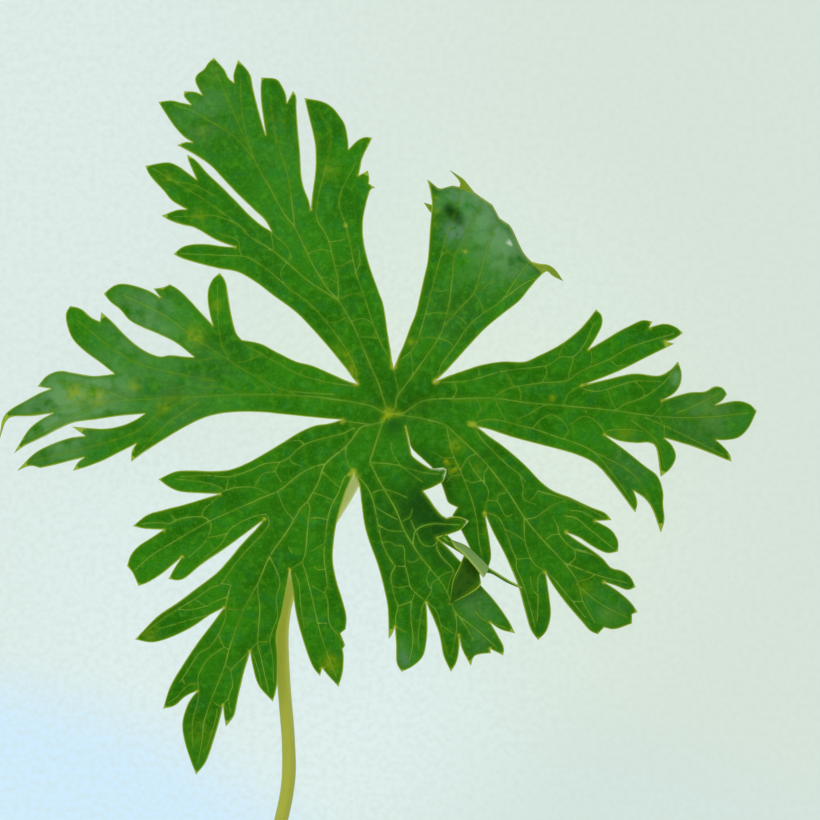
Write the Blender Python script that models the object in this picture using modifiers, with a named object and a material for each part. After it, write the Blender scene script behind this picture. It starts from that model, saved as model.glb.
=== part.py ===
# One leaf of a hardy geranium, as picked: a deeply cut blade with seven lobes, and its petiole.
# The leaf lies face up on a surface. The tips of five lobes and the outer run of the petiole touch it.
# Metres, +Z up. The origin is on that surface, under the middle of the leaf's bounding box.

import math

import bmesh
import bpy
import numpy as np
from mathutils.geometry import delaunay_2d_cdt

MM = 0.001

# Driving dimensions, in millimetres
JUNCTION = (1.4, 20.0)        # where the petiole meets the blade, seen from above
CENTRE_HEIGHT = 13.4          # top of the blade there, above the surface
BLADE_THICKNESS = 0.6
RIB_THICKNESS = 1.15          # blade and midrib together, near the petiole
GROOVE_DEPTH = 0.3            # how far a vein lies below the blade's upper face
FUNNEL_RISE = 1.4             # the blade rises this much round its sunken middle
FUNNEL_RADIUS = 7.0
EDGE_STEP = 1.6               # spacing of points along the margin
VEIN_STEP = 1.8               # spacing of points along a vein
GRID_STEP = 2.5               # spacing of the points between veins
SEAM_SPANS = 4                # spans from the middle of the blade to a sinus
RIB_ROOM = 0.55               # least distance from a point on a vein to the margin
RIB_APART = 0.75              # least distance between points on crossing veins
GRID_ROOM = 1.1               # least distance from a point between veins to a vein or the margin
SECOND_RIB = 0.45             # a side vein's rib, as a share of the midrib's
RIB_TAPER = 0.7               # share of its rib that a vein loses on its way out to the tips
ROLL_AXIS = (0.8, -0.6)       # the north-east lobe rolls under about this line
ROLL_NORMAL = (0.6, 0.8)      # and away from the junction along this one
ROLL_TIGHTENING = 0.07        # share of its radius that the roll loses with each radian
ROLL_START = 28.1             # farthest distance from the junction at which that roll starts
ROLL_MIDDLE = -7.0            # where along the roll's axis that is
ROLL_BOW = 0.027              # how fast the start draws nearer to either side
ROLL_EDGE = 2.2               # and where it stops doing so
ROLL_RADIUS = 4.3
PETIOLE_DIAMETER = 2.0
PETIOLE_STEP = 3.0            # spacing of points along the petiole
PETIOLE_GAP = 0.3             # between the petiole's top and the midribs above it

# Sinuses between the lobes, counter-clockwise from the one right of the north-west lobe. They and all
# the outlines below are measured from the junction, in millimetres, as seen from above.
SINUS = {
    "ne_nw": (0.8, 6.2), "nw_w": (-4.2, 4.0), "w_sw": (-6.4, -0.95), "sw_s": (-4.75, -8.3),
    "s_se": (2.45, -1.85), "se_e": (12.2, -1.8), "e_ne": (6.4, 4.3),
}

# A lobe runs from one sinus to the next. Its margin is a row of strokes, and each stroke is a smooth
# curve that ends at a corner: the tip of a tooth or the notch beside it.
NORTH_WEST = [
    [(0.5, 7.5), (0.3, 9), (0, 11), (-0.6, 15), (-1.3, 17), (-2.7, 21), (-3.4, 24), (-3.5, 26.5),
     (-3.2, 28.5), (-2.5, 31.1), (-1.8, 31.5)],
    [(-2.7, 32.1)],
    [(-2.6, 32.8), (-2.8, 33.9)],
    [(-4.1, 33.2)],
    [(-3.9, 34.2), (-3.6, 35.6), (-2.7, 37.5), (-2.2, 38.5)],
    [(-3.2, 38.6), (-4.3, 38.1), (-5.5, 36.9)],
    [(-5.6, 38.3), (-6, 40.3), (-6.8, 41.6), (-7.8, 42.8), (-9.2, 43.6), (-11.7, 44.1)],
    [(-11.2, 42), (-10.3, 38.2), (-10.1, 36), (-10.15, 33.8), (-10.5, 31), (-10.75, 28.4)],
    [(-11.1, 29.8), (-11.8, 31.6), (-12.15, 33.5), (-12.3, 36.5), (-12.6, 39.5), (-12.8, 42.5),
     (-12.85, 44.3), (-13.3, 45.1)],
    [(-14.15, 43.4)],
    [(-14.3, 44.6), (-14.9, 45.9), (-15.7, 46.8), (-17.75, 47)],
    [(-17.85, 45.2), (-17.7, 43), (-17.1, 38.9)],
    [(-17.6, 40.5), (-18.4, 43.4), (-18.9, 45.4), (-19.4, 47.6), (-21, 49.5)],
    [(-21.65, 47.5), (-21.6, 46.3)],
    [(-22.4, 47), (-23, 48.2), (-24.4, 49.8)],
    [(-25.2, 49.1), (-25.8, 48.2), (-26.8, 47.4), (-27, 46.4), (-26.1, 44.6)],
    [(-27, 45), (-28.5, 45.1)],
    [(-28.6, 44.4), (-27.6, 43.2)],
    [(-29, 43.5), (-30.4, 43.8), (-32.2, 43.6)],
    [(-31.2, 42), (-29.9, 40.1), (-28.6, 38.7), (-27.4, 37.9)],
    [(-28.4, 37.95), (-29.5, 37.5)],
    [(-28.5, 37), (-26.6, 35.9), (-24.8, 34.6), (-23, 32.7), (-21.1, 30.7), (-18.9, 28.6), (-17.2, 27),
     (-16.3, 25.4)],
    [(-17.9, 26.4), (-19.6, 27.9), (-21.2, 29.6), (-23.4, 31.8), (-25.3, 33.6), (-26.8, 35.3),
     (-28.1, 36.2)],
    [(-27.9, 35.2), (-26.8, 32.7)],
    [(-28, 33.6), (-29.4, 34.6), (-31, 35.1), (-34, 34.6)],
    [(-33.3, 33.2), (-31.4, 31.1), (-30.2, 29.7), (-28.2, 28.5)],
    [(-29.6, 28.4), (-31.7, 27.6)],
    [(-30.4, 26.9), (-28.6, 26.3), (-27, 25.9), (-24, 24.2), (-21.3, 23.2)],
    [(-23, 23.3), (-25.2, 23.6), (-27.2, 23.6), (-28.8, 23.2), (-30, 22.2)],
    [(-28.4, 21.5), (-26, 20.8), (-23.6, 20.2), (-21, 19.7), (-18.5, 18.3), (-16, 16.4), (-13, 14.2),
     (-10.8, 12), (-8.4, 9.3), (-6, 6.4)],
]
WEST = [
    [(-5.6, 4.4), (-8, 5.5), (-10.5, 6.6), (-12.8, 7.2), (-15.5, 8.5), (-17.8, 9.7), (-20.4, 10.2)],
    [(-21.2, 11.2), (-21.8, 13.3), (-22.3, 16), (-22.7, 18.3), (-23.5, 19.6)],
    [(-24.5, 18.7), (-25.1, 17.4), (-25.2, 15.8), (-24.9, 13.8), (-24.5, 12.3)],
    [(-26, 13.9), (-27.8, 15.9), (-29.3, 17.3), (-30.5, 18)],
    [(-31.4, 17.6), (-32.8, 17.4)],
    [(-31.9, 16.2)],
    [(-33.2, 17), (-35, 17.7), (-37, 18.1), (-38.4, 17.8), (-39.8, 16.7)],
    [(-38.8, 15.5), (-37.5, 14.5), (-36.2, 13), (-34.6, 12.1), (-32, 11), (-29.6, 9.8), (-27.1, 7.8)],
    [(-28.6, 7.9), (-30.5, 8.1), (-31.8, 7.9), (-33.4, 8.4), (-35.2, 9.5), (-37, 11.1), (-38.6, 12.8),
     (-40.1, 14.1)],
    [(-40.3, 12.8)],
    [(-41.6, 13.4), (-43, 14.6), (-44.5, 15)],
    [(-45.1, 13.9), (-44.9, 12.2), (-44.1, 10.3), (-42.4, 8.6), (-40.2, 7), (-38.3, 5.5)],
    [(-39.7, 5.3), (-41.5, 5.2), (-44, 5.6), (-46, 5.9), (-47.8, 5.2), (-49.1, 3.7)],
    [(-47.2, 3.4)],
    [(-48.8, 2.8), (-51, 1.6), (-52.9, 0.5), (-54, -0.8), (-54.5, -3.6)],
    [(-53.7, -1.3), (-52.6, -0.5), (-50, -0.4), (-46.9, 0)],
    [(-48.6, -0.9), (-50.4, -2.4), (-52.4, -5.6)],
    [(-50.8, -4.5), (-48.3, -3.3), (-46.2, -2.2), (-44, -1.3), (-41, -0.9), (-37.5, -0.4), (-34, -0.1)],
    [(-35.4, -1), (-37.4, -1.8), (-40, -2.2), (-44.2, -1.9)],
    [(-42.4, -3.2)],
    [(-44.6, -3.5), (-47.2, -4.4), (-49.6, -5.7), (-52, -8.1)],
    [(-50.2, -7.4), (-48.7, -7.7)],
    [(-46.5, -7.2), (-44.2, -6.6), (-42.5, -6.2)],
    [(-43.4, -6.9), (-44.1, -8.1)],
    [(-42.4, -7.6), (-40, -6.7), (-37.8, -5.6), (-35.2, -4.3)],
    [(-35.8, -5.3), (-35.9, -6.8)],
    [(-34.2, -5.5), (-31.5, -3.8), (-29, -2.3), (-26.5, -1), (-24, -0.2), (-21, 0.15), (-17.5, 0.1),
     (-14.5, -0.2), (-11.5, -0.5), (-9, -0.75)],
]
SOUTH_WEST = [
    [(-8.4, -1.5), (-10.2, -1.75), (-12.2, -2.6), (-14.5, -4), (-17, -5.5), (-19.5, -6.9), (-22, -7.9),
     (-24.5, -8.15), (-27.5, -8.05), (-29.8, -8.2), (-32.1, -9.25)],
    [(-30.7, -10.3), (-29, -11), (-26, -11.2), (-23.4, -11.3)],
    [(-25.5, -11.9), (-28.5, -12.8), (-31.5, -13.6), (-33.6, -14.2), (-35.7, -15.8)],
    [(-34.2, -16.15), (-31.4, -16.3)],
    [(-33.2, -17.5), (-34.9, -18.6), (-36, -19.9), (-36.5, -21.4)],
    [(-35.7, -22.4), (-34.9, -24.2)],
    [(-33.6, -23.7), (-31.8, -22.6), (-30.2, -21.3), (-28.8, -20.1)],
    [(-29.7, -21.4), (-30.7, -23.2)],
    [(-29.2, -23.4), (-28, -22.8), (-26, -21.1), (-23.2, -19.2), (-20.8, -17.5), (-17.2, -14.8)],
    [(-18.6, -16.4), (-20.5, -18.4), (-22.3, -20.6), (-24, -22.4), (-26.6, -24.4), (-29.5, -26.6),
     (-32.4, -28.6), (-35.4, -31.7)],
    [(-33, -32.1), (-30.4, -31.4), (-27.5, -30), (-25, -28.3), (-22.9, -27.2)],
    [(-24.4, -29.2), (-26.6, -32.1), (-28.6, -35.1), (-30.5, -38.3), (-31.5, -41.4)],
    [(-29.9, -41), (-28.4, -39.7), (-26.7, -38.9)],
    [(-28, -40.7), (-28.8, -43.4), (-28.5, -46), (-27.7, -48.6), (-26.9, -50.7)],
    [(-25.5, -48.8), (-24.5, -46), (-23.6, -43), (-23.1, -40.9)],
    [(-22.95, -42.4), (-22.7, -43.9)],
    [(-21.6, -42.4), (-21, -39.8), (-20.3, -36.8), (-19.3, -33.3)],
    [(-18.9, -35.5), (-18.1, -38.1), (-16.1, -40.4)],
    [(-15.5, -37.8), (-15.4, -34), (-15.55, -31), (-14.7, -27.5), (-13.7, -21.9)],
    [(-13.35, -24.5), (-12.8, -28.2), (-11.8, -32), (-10.6, -35.3), (-9.5, -36.8)],
    [(-9.2, -35.7)],
    [(-8.2, -36.9), (-6.9, -38.3)],
    [(-6.3, -36), (-6.2, -33.9), (-6.35, -33)],
    [(-6, -32.5)],
    [(-6.65, -30.8)],
    [(-5.9, -30.2)],
    [(-5.8, -28.4), (-6.4, -26), (-7.2, -23.4), (-7.7, -20.5), (-7.5, -17.2), (-6.9, -14.2), (-5.9, -11)],
]
# Where the twisted side segment of the south lobe is rooted: its inner margin, crease and outer margin
TWIST_ROOT = [(6.8, -17.4), (7.25, -17.28), (7.7, -17.16), (8.0, -17.08), (8.3, -17.0)]
SOUTH = [
    [(-4, -10), (-3.7, -12.5), (-3.3, -15.5), (-2.6, -18), (-1.4, -21.3), (-0.5, -24.7), (0, -27.5),
     (0.1, -31.6)],
    [(0.6, -30.9), (1, -29.9)],
    [(1.15, -32.5), (1.2, -34.9), (1.9, -36.2)],
    [(3.5, -35.4), (4.9, -34), (5.4, -31.8), (5.5, -29.5), (5.35, -26.5)],
    [(6.3, -28.6), (7.2, -31), (7.8, -34), (8.8, -36.2)],
    [(9.6, -34.8), (9.95, -32.8), (9.9, -31)],
    [(10.4, -33.1), (11.6, -35.4)],
    [(12, -34.1), (13, -33.7), (14.4, -33.6)],
    [(14.3, -33)],
    [(16.1, -33.9)],
    [(16.2, -32.8), (15.3, -31), (14.3, -29.3)],
    [(15.8, -30.3), (17.8, -30.8)],
    [(16.6, -28.6), (14.8, -26.1), (12.9, -24), (11.3, -22), (9.6, -20.2), (8.3, -18.8), TWIST_ROOT[0]],
    [TWIST_ROOT[1]], [TWIST_ROOT[2]], [TWIST_ROOT[3]], [TWIST_ROOT[4]],
    [(9.5, -16.6), (10.3, -16.2), (11.3, -15.1)],
    [(10.8, -14.8), (9.9, -14.5), (8.9, -14.5), (8.2, -14.7)],
    [(7.5, -14.3), (6.7, -13.4), (5.8, -12.1), (4.9, -10.9)],
    [(6.2, -10.4), (7.1, -9.9), (7.8, -9.4), (8.2, -7.9)],
    [(7.7, -7.6), (6.8, -7.75), (5.9, -7.7), (5, -7.2), (4, -6.5), (3.3, -5.8), (3.1, -4.9), (2.8, -3.5)],
]
SOUTH_EAST = [
    [(2.9, -3.6), (3.3, -4.9), (4.6, -6.2), (6.1, -7.6), (7, -8.8), (7.6, -10.2), (8.1, -11.8),
     (8.5, -12.6), (9.7, -13.2)],
    [(9, -14.3)],
    [(9.7, -15.4), (10.8, -17.5), (11.9, -19.8), (12.8, -21.3), (13.7, -22.3)],
    [(14.4, -20.3), (14.2, -17.8), (13.8, -15.6), (13.5, -13.9)],
    [(14.6, -16.5), (16.2, -19.5), (17.6, -22.5), (18.4, -24.6), (19.2, -27.6), (20, -30.3), (21, -31.8)],
    [(22.2, -30.5), (22.8, -28.2), (22.5, -25.2), (22, -22.3)],
    [(23.2, -24.3), (25, -26.7), (27, -29), (28.3, -30.5), (29.4, -31)],
    [(30.25, -30.05)],
    [(31.8, -30.3), (34.2, -29.5)],
    [(34.2, -28.2)],
    [(35, -27.9)],
    [(34, -26.5), (32.3, -25), (30.3, -23.7)],
    [(31.8, -24.15), (33.5, -24.8), (34.7, -24.4)],
    [(34, -23), (32.8, -22.1), (31.3, -21.7), (30, -20.3), (28.4, -19.1), (26.4, -17.8), (24.9, -16.7)],
    [(26.8, -17.45), (28.6, -18.65), (30.6, -19.6), (32.2, -19.4)],
    [(32.2, -17.9), (31.2, -16.3), (29.1, -15.1)],
    [(31.3, -15)],
    [(30.4, -14), (28.2, -13.1), (25.4, -11.8), (23.1, -10.9), (21.4, -9.6), (19, -7.1), (16.4, -4.85),
     (14.2, -3.3)],
]
EAST = [
    [(14.5, -2.4), (18, -3.55), (22, -4.6), (26, -5.7), (29, -7.1), (31.2, -9.4), (33.2, -12),
     (34.6, -13.9)],
    [(34.9, -12.5), (34.4, -10.9)],
    [(35.9, -11.9), (37.1, -13.6), (38.2, -16.7)],
    [(38.7, -15), (38.5, -12.8), (38.5, -11), (37.7, -8.8), (35.8, -7.3), (33.2, -5.2), (30.2, -3)],
    [(32.4, -3.9), (34.8, -4.2), (36.6, -4.15), (37.6, -5), (38.2, -8.9)],
    [(39.6, -7.7), (40.3, -6.1), (39.8, -4.6), (38.7, -3.5)],
    [(40.8, -4.1), (43.4, -4.9), (48.1, -6.8)],
    [(47.9, -5.8), (47, -4.7), (46, -3.8)],
    [(47.5, -3.8), (49.2, -3.4), (50.6, -2), (51.7, 0.3)],
    [(50.6, 1.3), (48.8, 1.7), (45.9, 1.15)],
    [(46.8, 1.7), (47.5, 2.6)],
    [(46.9, 3.5), (45.8, 3.7), (44.4, 3), (42.4, 2.9), (40.4, 2.4), (38.3, 1.7)],
    [(40, 2.7), (40.9, 4), (41.1, 5.6), (40.6, 7.2)],
    [(39.6, 6.1), (37.8, 5.2), (34.4, 5.5), (31, 4.8), (27, 3.8)],
    [(28.6, 4.4), (31.2, 5.4), (34, 6.7), (36.6, 8), (40.1, 9.7)],
    [(38.9, 10)],
    [(40.1, 10.4), (41.3, 11.2)],
    [(40.2, 12.1), (38.6, 12.5), (36.6, 12)],
    [(37, 12.8)],
    [(35.6, 13), (34, 12.3), (32.4, 11.5), (30.6, 10.4), (28, 8.85)],
    [(29, 10.4), (29.9, 12.2), (29.9, 13.6), (29.1, 14.5)],
    [(28, 13), (26.4, 11.3), (24, 9.5), (21, 8), (19, 7.15), (16, 7.2), (13, 6.7), (9.6, 5.6)],
]
# The north-east lobe is drawn as it lies before its outer third is rolled under
NORTH_EAST = [
    [(8.4, 6.2), (11.5, 9.6), (13.6, 11.8), (16, 13.8), (18.3, 15.6), (19.8, 17.3), (21.4, 18.6),
     (23.6, 19.4), (26.2, 19.4)],
    [(25, 21), (23.4, 22.9)],
    [(25.6, 23.8), (27.2, 25.3)],
    [(25.1, 26.2), (23.5, 26.4)],
    [(25.4, 28.2), (26.8, 30.4), (27.2, 32.6)],
    [(24.9, 31.8), (22.2, 30.3)],
    [(23.7, 32.9), (24.3, 35.8), (23.9, 37.8)],
    [(21.6, 37.5), (19.3, 36), (17.6, 34.1)],
    [(18.4, 36.5), (18.5, 38.6), (17.7, 40)],
    [(16, 38.3), (14.7, 36)],
    [(14.3, 37.8), (12.6, 40.1)],
    [(11.8, 37.4), (12, 35.3)],
    [(10.9, 35.6), (9.4, 35.9)],
    [(9.3, 34.8), (9.2, 33.6)],
    [(8.2, 33.6), (6.6, 33.8)],
    [(6.8, 32.4), (6.7, 31)],
    [(6.3, 29.8), (6.1, 28.5), (5.9, 26), (5.7, 23), (5.5, 21), (5, 18.8), (4.5, 16.5), (3.9, 14),
     (3.1, 12), (2.3, 9.8), (1.4, 7.6)],
]

# Veins of each lobe, the midrib first
VEINS = {
    "nw": [
        [(0, 0), (-1.4, 4), (-3.2, 8.4), (-5.5, 13.5), (-8.9, 19.2), (-12.5, 25.2), (-16.5, 31.5),
         (-18.7, 35.5), (-24, 47.5)],
        [(-6.9, 15.5), (-10.5, 18.6), (-13.2, 20.7), (-20.8, 26.2), (-26, 30), (-33, 34.3)],
        [(-5, 7.5), (-8.6, 12.9), (-14.5, 18.3), (-19.2, 21.5), (-29, 22.3)],
        [(-0.8, 9), (-3.5, 17), (-5, 22.5), (-6.8, 30), (-4.5, 35)],
        [(-6.7, 16), (-8.2, 24), (-9.8, 28), (-8, 38), (-9.5, 42)],
        [(-13, 26), (-14, 33), (-15.8, 39), (-16.5, 44)],
        [(-18.7, 35.5), (-20.3, 41), (-20.7, 47)], [(-20.5, 39), (-25, 41.5), (-30, 42.8)],
    ],
    "w": [
        [(0, 0), (-6, 1.2), (-12, 2.4), (-20, 2.6), (-28, 2.2), (-36, 1.8), (-44, 1), (-53, -0.8)],
        [(-6, 3.2), (-15, 3.8), (-21, 6.8), (-23.7, 13), (-23.8, 18)],
        [(-21, 6.8), (-27, 10.5), (-31, 13.5), (-37, 16.5)], [(-26, 5), (-34, 6.6), (-42, 11.5)],
        [(-36, 1.8), (-42, 3.8), (-47, 4.4)], [(-28, 2.2), (-36, -3), (-44, -5.3), (-50, -6.8)],
    ],
    "sw": [
        [(0, 0), (-2.5, -1.6), (-4.8, -3.3), (-8.7, -6.8), (-11.2, -12.3), (-14, -16.5), (-16.5, -21),
         (-20.5, -28), (-24.2, -36), (-25.5, -40), (-26.8, -49)],
        [(-5, -1.7), (-10, -3.6), (-13.8, -6.3), (-20.5, -8.4), (-25, -8.8), (-31, -9.2)],
        [(-8.7, -7), (-13.5, -9.3), (-20.5, -13.2), (-25, -15), (-29.5, -17.5), (-35.8, -21.5)],
        [(-25, -15), (-30, -14.9), (-35, -15.5)],
        [(-16.7, -15), (-21.8, -21.5), (-27.5, -26), (-34.5, -31)],
        [(-21.8, -24), (-22.7, -30), (-25.5, -33.5), (-30.5, -40)],
        [(-11.1, -12.3), (-11.4, -18.5), (-10.7, -25), (-9, -31), (-7.2, -37)],
        [(-5.2, -8.8), (-7.8, -13), (-8.8, -19), (-8.6, -24.5)], [(-17, -20), (-18.3, -24.8), (-16.9, -38)],
    ],
    "s": [
        [(0, 0), (-1.8, -3.5), (-2.5, -6.8), (-1.3, -9.5), (1.5, -14.3), (6.7, -23), (9, -28), (9, -34)],
        [(-4.3, -8.7), (-3.2, -10.5), (-0.3, -19.5), (1.6, -27), (3, -34)],
        [(2.4, -21), (3.6, -25), (5.2, -26)], [(6.9, -17.8), (8, -20), (9.3, -21.8), (15, -29)],
        [(-1.3, -9.5), (3.5, -9), (7.5, -8.6)], [(1.5, -14.3), (6, -15.5), (10, -15.6)],
    ],
    "se": [
        [(0, 0), (2, -0.5), (5, -0.9), (7.5, -1.5), (9.5, -2.8), (13.5, -6.8), (17.5, -11.5),
         (20.8, -16.2), (24.5, -20.8), (30.5, -28.5)],
        [(7.9, -1.6), (9, -5), (11.5, -12), (12.8, -16), (13.5, -21)],
        [(13.8, -14), (17, -18), (18.2, -22), (20.5, -29)], [(19, -14.5), (19.7, -19.5), (21.8, -22)],
        [(12, -2.4), (16, -6.4), (19, -9)], [(20.5, -11.5), (24, -11.3), (30.5, -14.8)],
        [(24, -14), (28.5, -16.8), (31, -18.7)], [(23.7, -19.6), (29, -22.6), (33.5, -23.8)],
    ],
    "e": [
        [(0, 0), (4, 1.4), (8, 2), (14.5, 2.2), (20, 1.6), (28, 0.8), (42, -0.5), (50.5, 0)],
        [(14.8, 2.2), (18.5, 3.8), (24.5, 4.5), (31, 7.2), (40, 11.1)],
        [(6.5, 4.1), (15.5, 5.4), (20.5, 6.4), (23.5, 7.7), (28.8, 12.6)],
        [(31.8, 0.4), (35.5, 2.3), (40.2, 6)], [(12.4, -1.5), (20.3, -2.2), (28, -5), (34, -12.5)],
        [(28, -5), (34.5, -8.8), (37.8, -15)], [(34, -1), (37.5, -3), (38.8, -7)],
        [(33.5, -0.5), (40, -2.4), (47, -5.9)],
    ],
    "ne": [
        [(0, 0), (2, 4.8), (5.8, 9.6), (8.3, 14), (12, 20.5), (16.5, 27), (22.5, 35)],
        [(1.5, 6.2), (4.8, 11.5), (6.8, 19.5), (8.8, 26), (12.5, 32), (17, 38)],
        [(3.8, 1.8), (8, 7.5), (13, 14.2), (18, 20.5), (22.5, 25), (26, 30.5)],
        [(16, 17.5), (20, 19.3), (25, 19.9)], [(8.3, 14), (12.5, 25), (16, 32)],
    ],
}

# Each lobe: margin, sinus before and after, reach of its tips, how far they hang below the middle
LOBES = {
    "nw": dict(margin=NORTH_WEST, sinuses=("ne_nw", "nw_w"), reach=55.5, drop=14.15),
    "w": dict(margin=WEST, sinuses=("nw_w", "w_sw"), reach=54.6, drop=14.15),
    "sw": dict(margin=SOUTH_WEST, sinuses=("w_sw", "sw_s"), reach=57.4, drop=14.15),
    "s": dict(margin=SOUTH, sinuses=("sw_s", "s_se"), reach=37.3, drop=7.2),
    "se": dict(margin=SOUTH_EAST, sinuses=("s_se", "se_e"), reach=45.2, drop=14.15),
    "e": dict(margin=EAST, sinuses=("se_e", "e_ne"), reach=51.7, drop=14.15),
    "ne": dict(margin=NORTH_EAST, sinuses=("e_ne", "ne_nw"), reach=45.0, drop=2.0),
}
DROOP_POWER = 2.2             # how late along a lobe it starts to bend down
SIDE_DROOP = 1.6              # how far the side teeth hang below the midrib
SIDE_REACH = 14.0
SOUTH_LIFT = 1.3              # the south lobe's right side stands over the south-east lobe
SOUTH_EAST_DIP = 1.0

# The twisted side segment of the south lobe, as rows across it from the inner margin over the crease to
# the outer margin. It folds over along the crease, so that its outer half shows the blade's underside.
# Heights are above the surface.
TWIST_ROWS = [
    [(7.8, -18.15, 13.3), (8.35, -17.85, 13.6), (8.75, -17.65, 14.4)],
    [(9.2, -19.0, 13.1), (9.8, -18.3, 13.8), (9.3, -18.7, 15.3)],
    [(10.6, -19.9, 13.0), (11.0, -18.9, 13.7), (10.4, -19.6, 15.5)],
    [(11.8, -20.9, 12.9), (12.3, -20.1, 13.6), (11.6, -20.9, 15.4)],
    [(12.8, -22.3, 12.8), (13.6, -21.4, 13.5), (12.9, -22.5, 15.0)],
]
# Its end tooth, seen on edge, and the tooth on its inner margin that hangs back over the south lobe
TWIST_TOOTH = [[(14.3, -22.4, 12.3), (14.5, -22.0, 13.6)], [(16.6, -23.7, 11.9), (16.7, -23.4, 13.1)]]
TWIST_TOOTH_TIP = (19.0, -24.7, 11.8)
TWIST_FLAP = [[(9.8, -21.7, 13.2), (10.9, -22.6, 13.5), (12.9, -24.1, 13.1)],
              [(9.0, -23.6, 13.1), (9.9, -24.4, 13.4), (11.3, -25.3, 13.0)]]
TWIST_FLAP_TIP = (8.7, -26.6, 12.6)

# A dent in the north-east lobe, just before its roll: centre, half length and half width
DENT_CENTRE = (9.3, 27.3)
DENT_SIZE = (2.0, 1.1)
DENT_DEPTH = 1.3

# The petiole's middle line, from under the blade down to the surface and along it to the cut end.
# Heights are above the surface. Its eight sides stand it on a flat one.
HALF_SIDE = math.radians(22.5)
PETIOLE_FLAT = PETIOLE_DIAMETER / 2 * math.cos(HALF_SIDE)
PETIOLE_TOP = CENTRE_HEIGHT - GROOVE_DEPTH - RIB_THICKNESS - PETIOLE_GAP
PETIOLE_ROUTE = [
    (-0.1, -0.2, PETIOLE_TOP - 0.6), (-1.2, -2.4, 9.3), (-2.9, -5.7, 7.5), (-5.3, -10.1, 5.2),
    (-7.6, -14.1, 3.3), (-9.9, -18, 2.0), (-12, -22, 1.25), (-13.4, -25.6, PETIOLE_FLAT),
    (-14.3, -29.5, PETIOLE_FLAT), (-14.5, -34.5, PETIOLE_FLAT), (-14.2, -40.2, PETIOLE_FLAT),
    (-13.8, -46, PETIOLE_FLAT), (-14, -51.5, PETIOLE_FLAT), (-15, -57, PETIOLE_FLAT),
    (-17, -64, PETIOLE_FLAT), (-19.8, -72, PETIOLE_FLAT), (-22.8, -80.5, PETIOLE_FLAT),
    (-25.4, -89.5, PETIOLE_FLAT),
]


# Smooth curves and outlines

def smooth_curve(points, step):
    """Points about one step apart on a Catmull-Rom curve through the given points."""
    points = np.array(points, float)
    if len(points) > 2:
        guide = np.vstack([2 * points[0] - points[1], points, 2 * points[-1] - points[-2]])
        t = np.linspace(0, 1, 9)[:, None]
        dense = [points[:1]]
        for a, b, c, d in zip(guide, guide[1:], guide[2:], guide[3:]):
            curve = 0.5 * (2 * b + (c - a) * t + (2 * a - 5 * b + 4 * c - d) * t**2
                           + (3 * b - a - 3 * c + d) * t**3)
            dense.append(curve[1:])
        points = np.vstack(dense)
    along = np.concatenate([[0], np.cumsum(np.linalg.norm(np.diff(points, axis=0), axis=1))])
    spans = max(1, round(along[-1] / step))
    stops = np.linspace(0, along[-1], spans + 1)
    return np.column_stack([np.interp(stops, along, points[:, k]) for k in range(points.shape[1])])


def seam(name):
    """The line from the middle of the blade to a sinus, where two lobes are joined."""
    return np.linspace((0, 0), SINUS[name], SEAM_SPANS + 1)


def lobe_outline(lobe):
    """A lobe's closed outline, counter-clockwise: out along one seam, round the margin and back."""
    first, last = lobe["sinuses"]
    outline = [seam(first)]
    corner = SINUS[first]
    for number, stroke in enumerate(lobe["margin"]):
        end = [SINUS[last]] if number == len(lobe["margin"]) - 1 else []
        curve = smooth_curve([corner] + stroke + end, EDGE_STEP)
        outline.append(curve[1:])
        corner = stroke[-1]
    outline.append(seam(last)[-2:0:-1])
    return np.vstack(outline)


# Distances and heights, for whole arrays of points

def distance_to_line(points, line):
    """The distance of each point from a line through several points, and on which side it lies."""
    line = np.array(line, float)
    start, run = line[:-1], np.diff(line, axis=0)
    offset = points[:, None] - start[None]
    share = np.clip((offset * run).sum(2) / (run**2).sum(1), 0, 1)
    gap = offset - share[..., None] * run
    nearest = np.argmin((gap**2).sum(2), axis=1)
    rows = np.arange(len(points))
    gap, run = gap[rows, nearest], run[nearest]
    side = np.sign(run[:, 0] * gap[:, 1] - run[:, 1] * gap[:, 0])
    return np.linalg.norm(gap, axis=1), side


def inside(points, outline):
    """Which points lie inside a closed outline."""
    x, y = points[:, None, 0], points[:, None, 1]
    ax, ay = outline[:, 0], outline[:, 1]
    bx, by = np.roll(ax, -1), np.roll(ay, -1)
    crosses = (ay > y) != (by > y)
    reach = ax + (y - ay) * (bx - ax) / np.where(by == ay, 1, by - ay)
    return (crosses & (x < reach)).sum(1) % 2 == 1


def ease(value):
    """Rises smoothly from 0 to 1 as the value does."""
    value = np.clip(value, 0, 1)
    return value * value * (3 - 2 * value)


def blade_height(name, points):
    """Height of the blade's upper face: a shallow funnel at the middle, and lobes that bend down."""
    lobe = LOBES[name]
    radius = np.linalg.norm(points, axis=1)
    off_seam = np.minimum(*(distance_to_line(points, seam(s))[0] for s in lobe["sinuses"]))
    off_midrib, side = distance_to_line(points, VEINS[name][0])
    bend = lobe["drop"] * (radius / lobe["reach"]) ** DROOP_POWER
    bend += SIDE_DROOP * (off_midrib / SIDE_REACH) ** 2 * (1 - radius / lobe["reach"])
    if name == "s":
        bend -= SOUTH_LIFT * ease((off_midrib - 1.5) / 5) * (side > 0) * ease((24 - radius) / 8)
    if name == "se":
        bend += SOUTH_EAST_DIP * ease((off_midrib - 1.5) / 4) * (side < 0)
    if name == "ne":
        across, along = np.array([ROLL_AXIS, ROLL_NORMAL]) @ (points - DENT_CENTRE).T
        bend += DENT_DEPTH * np.exp(-(across / DENT_SIZE[0]) ** 2 - (along / DENT_SIZE[1]) ** 2)
    funnel = FUNNEL_RISE * (1 - np.exp(-(radius / FUNNEL_RADIUS) ** 2))
    return CENTRE_HEIGHT + funnel - bend * ease(off_seam / 6)


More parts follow.
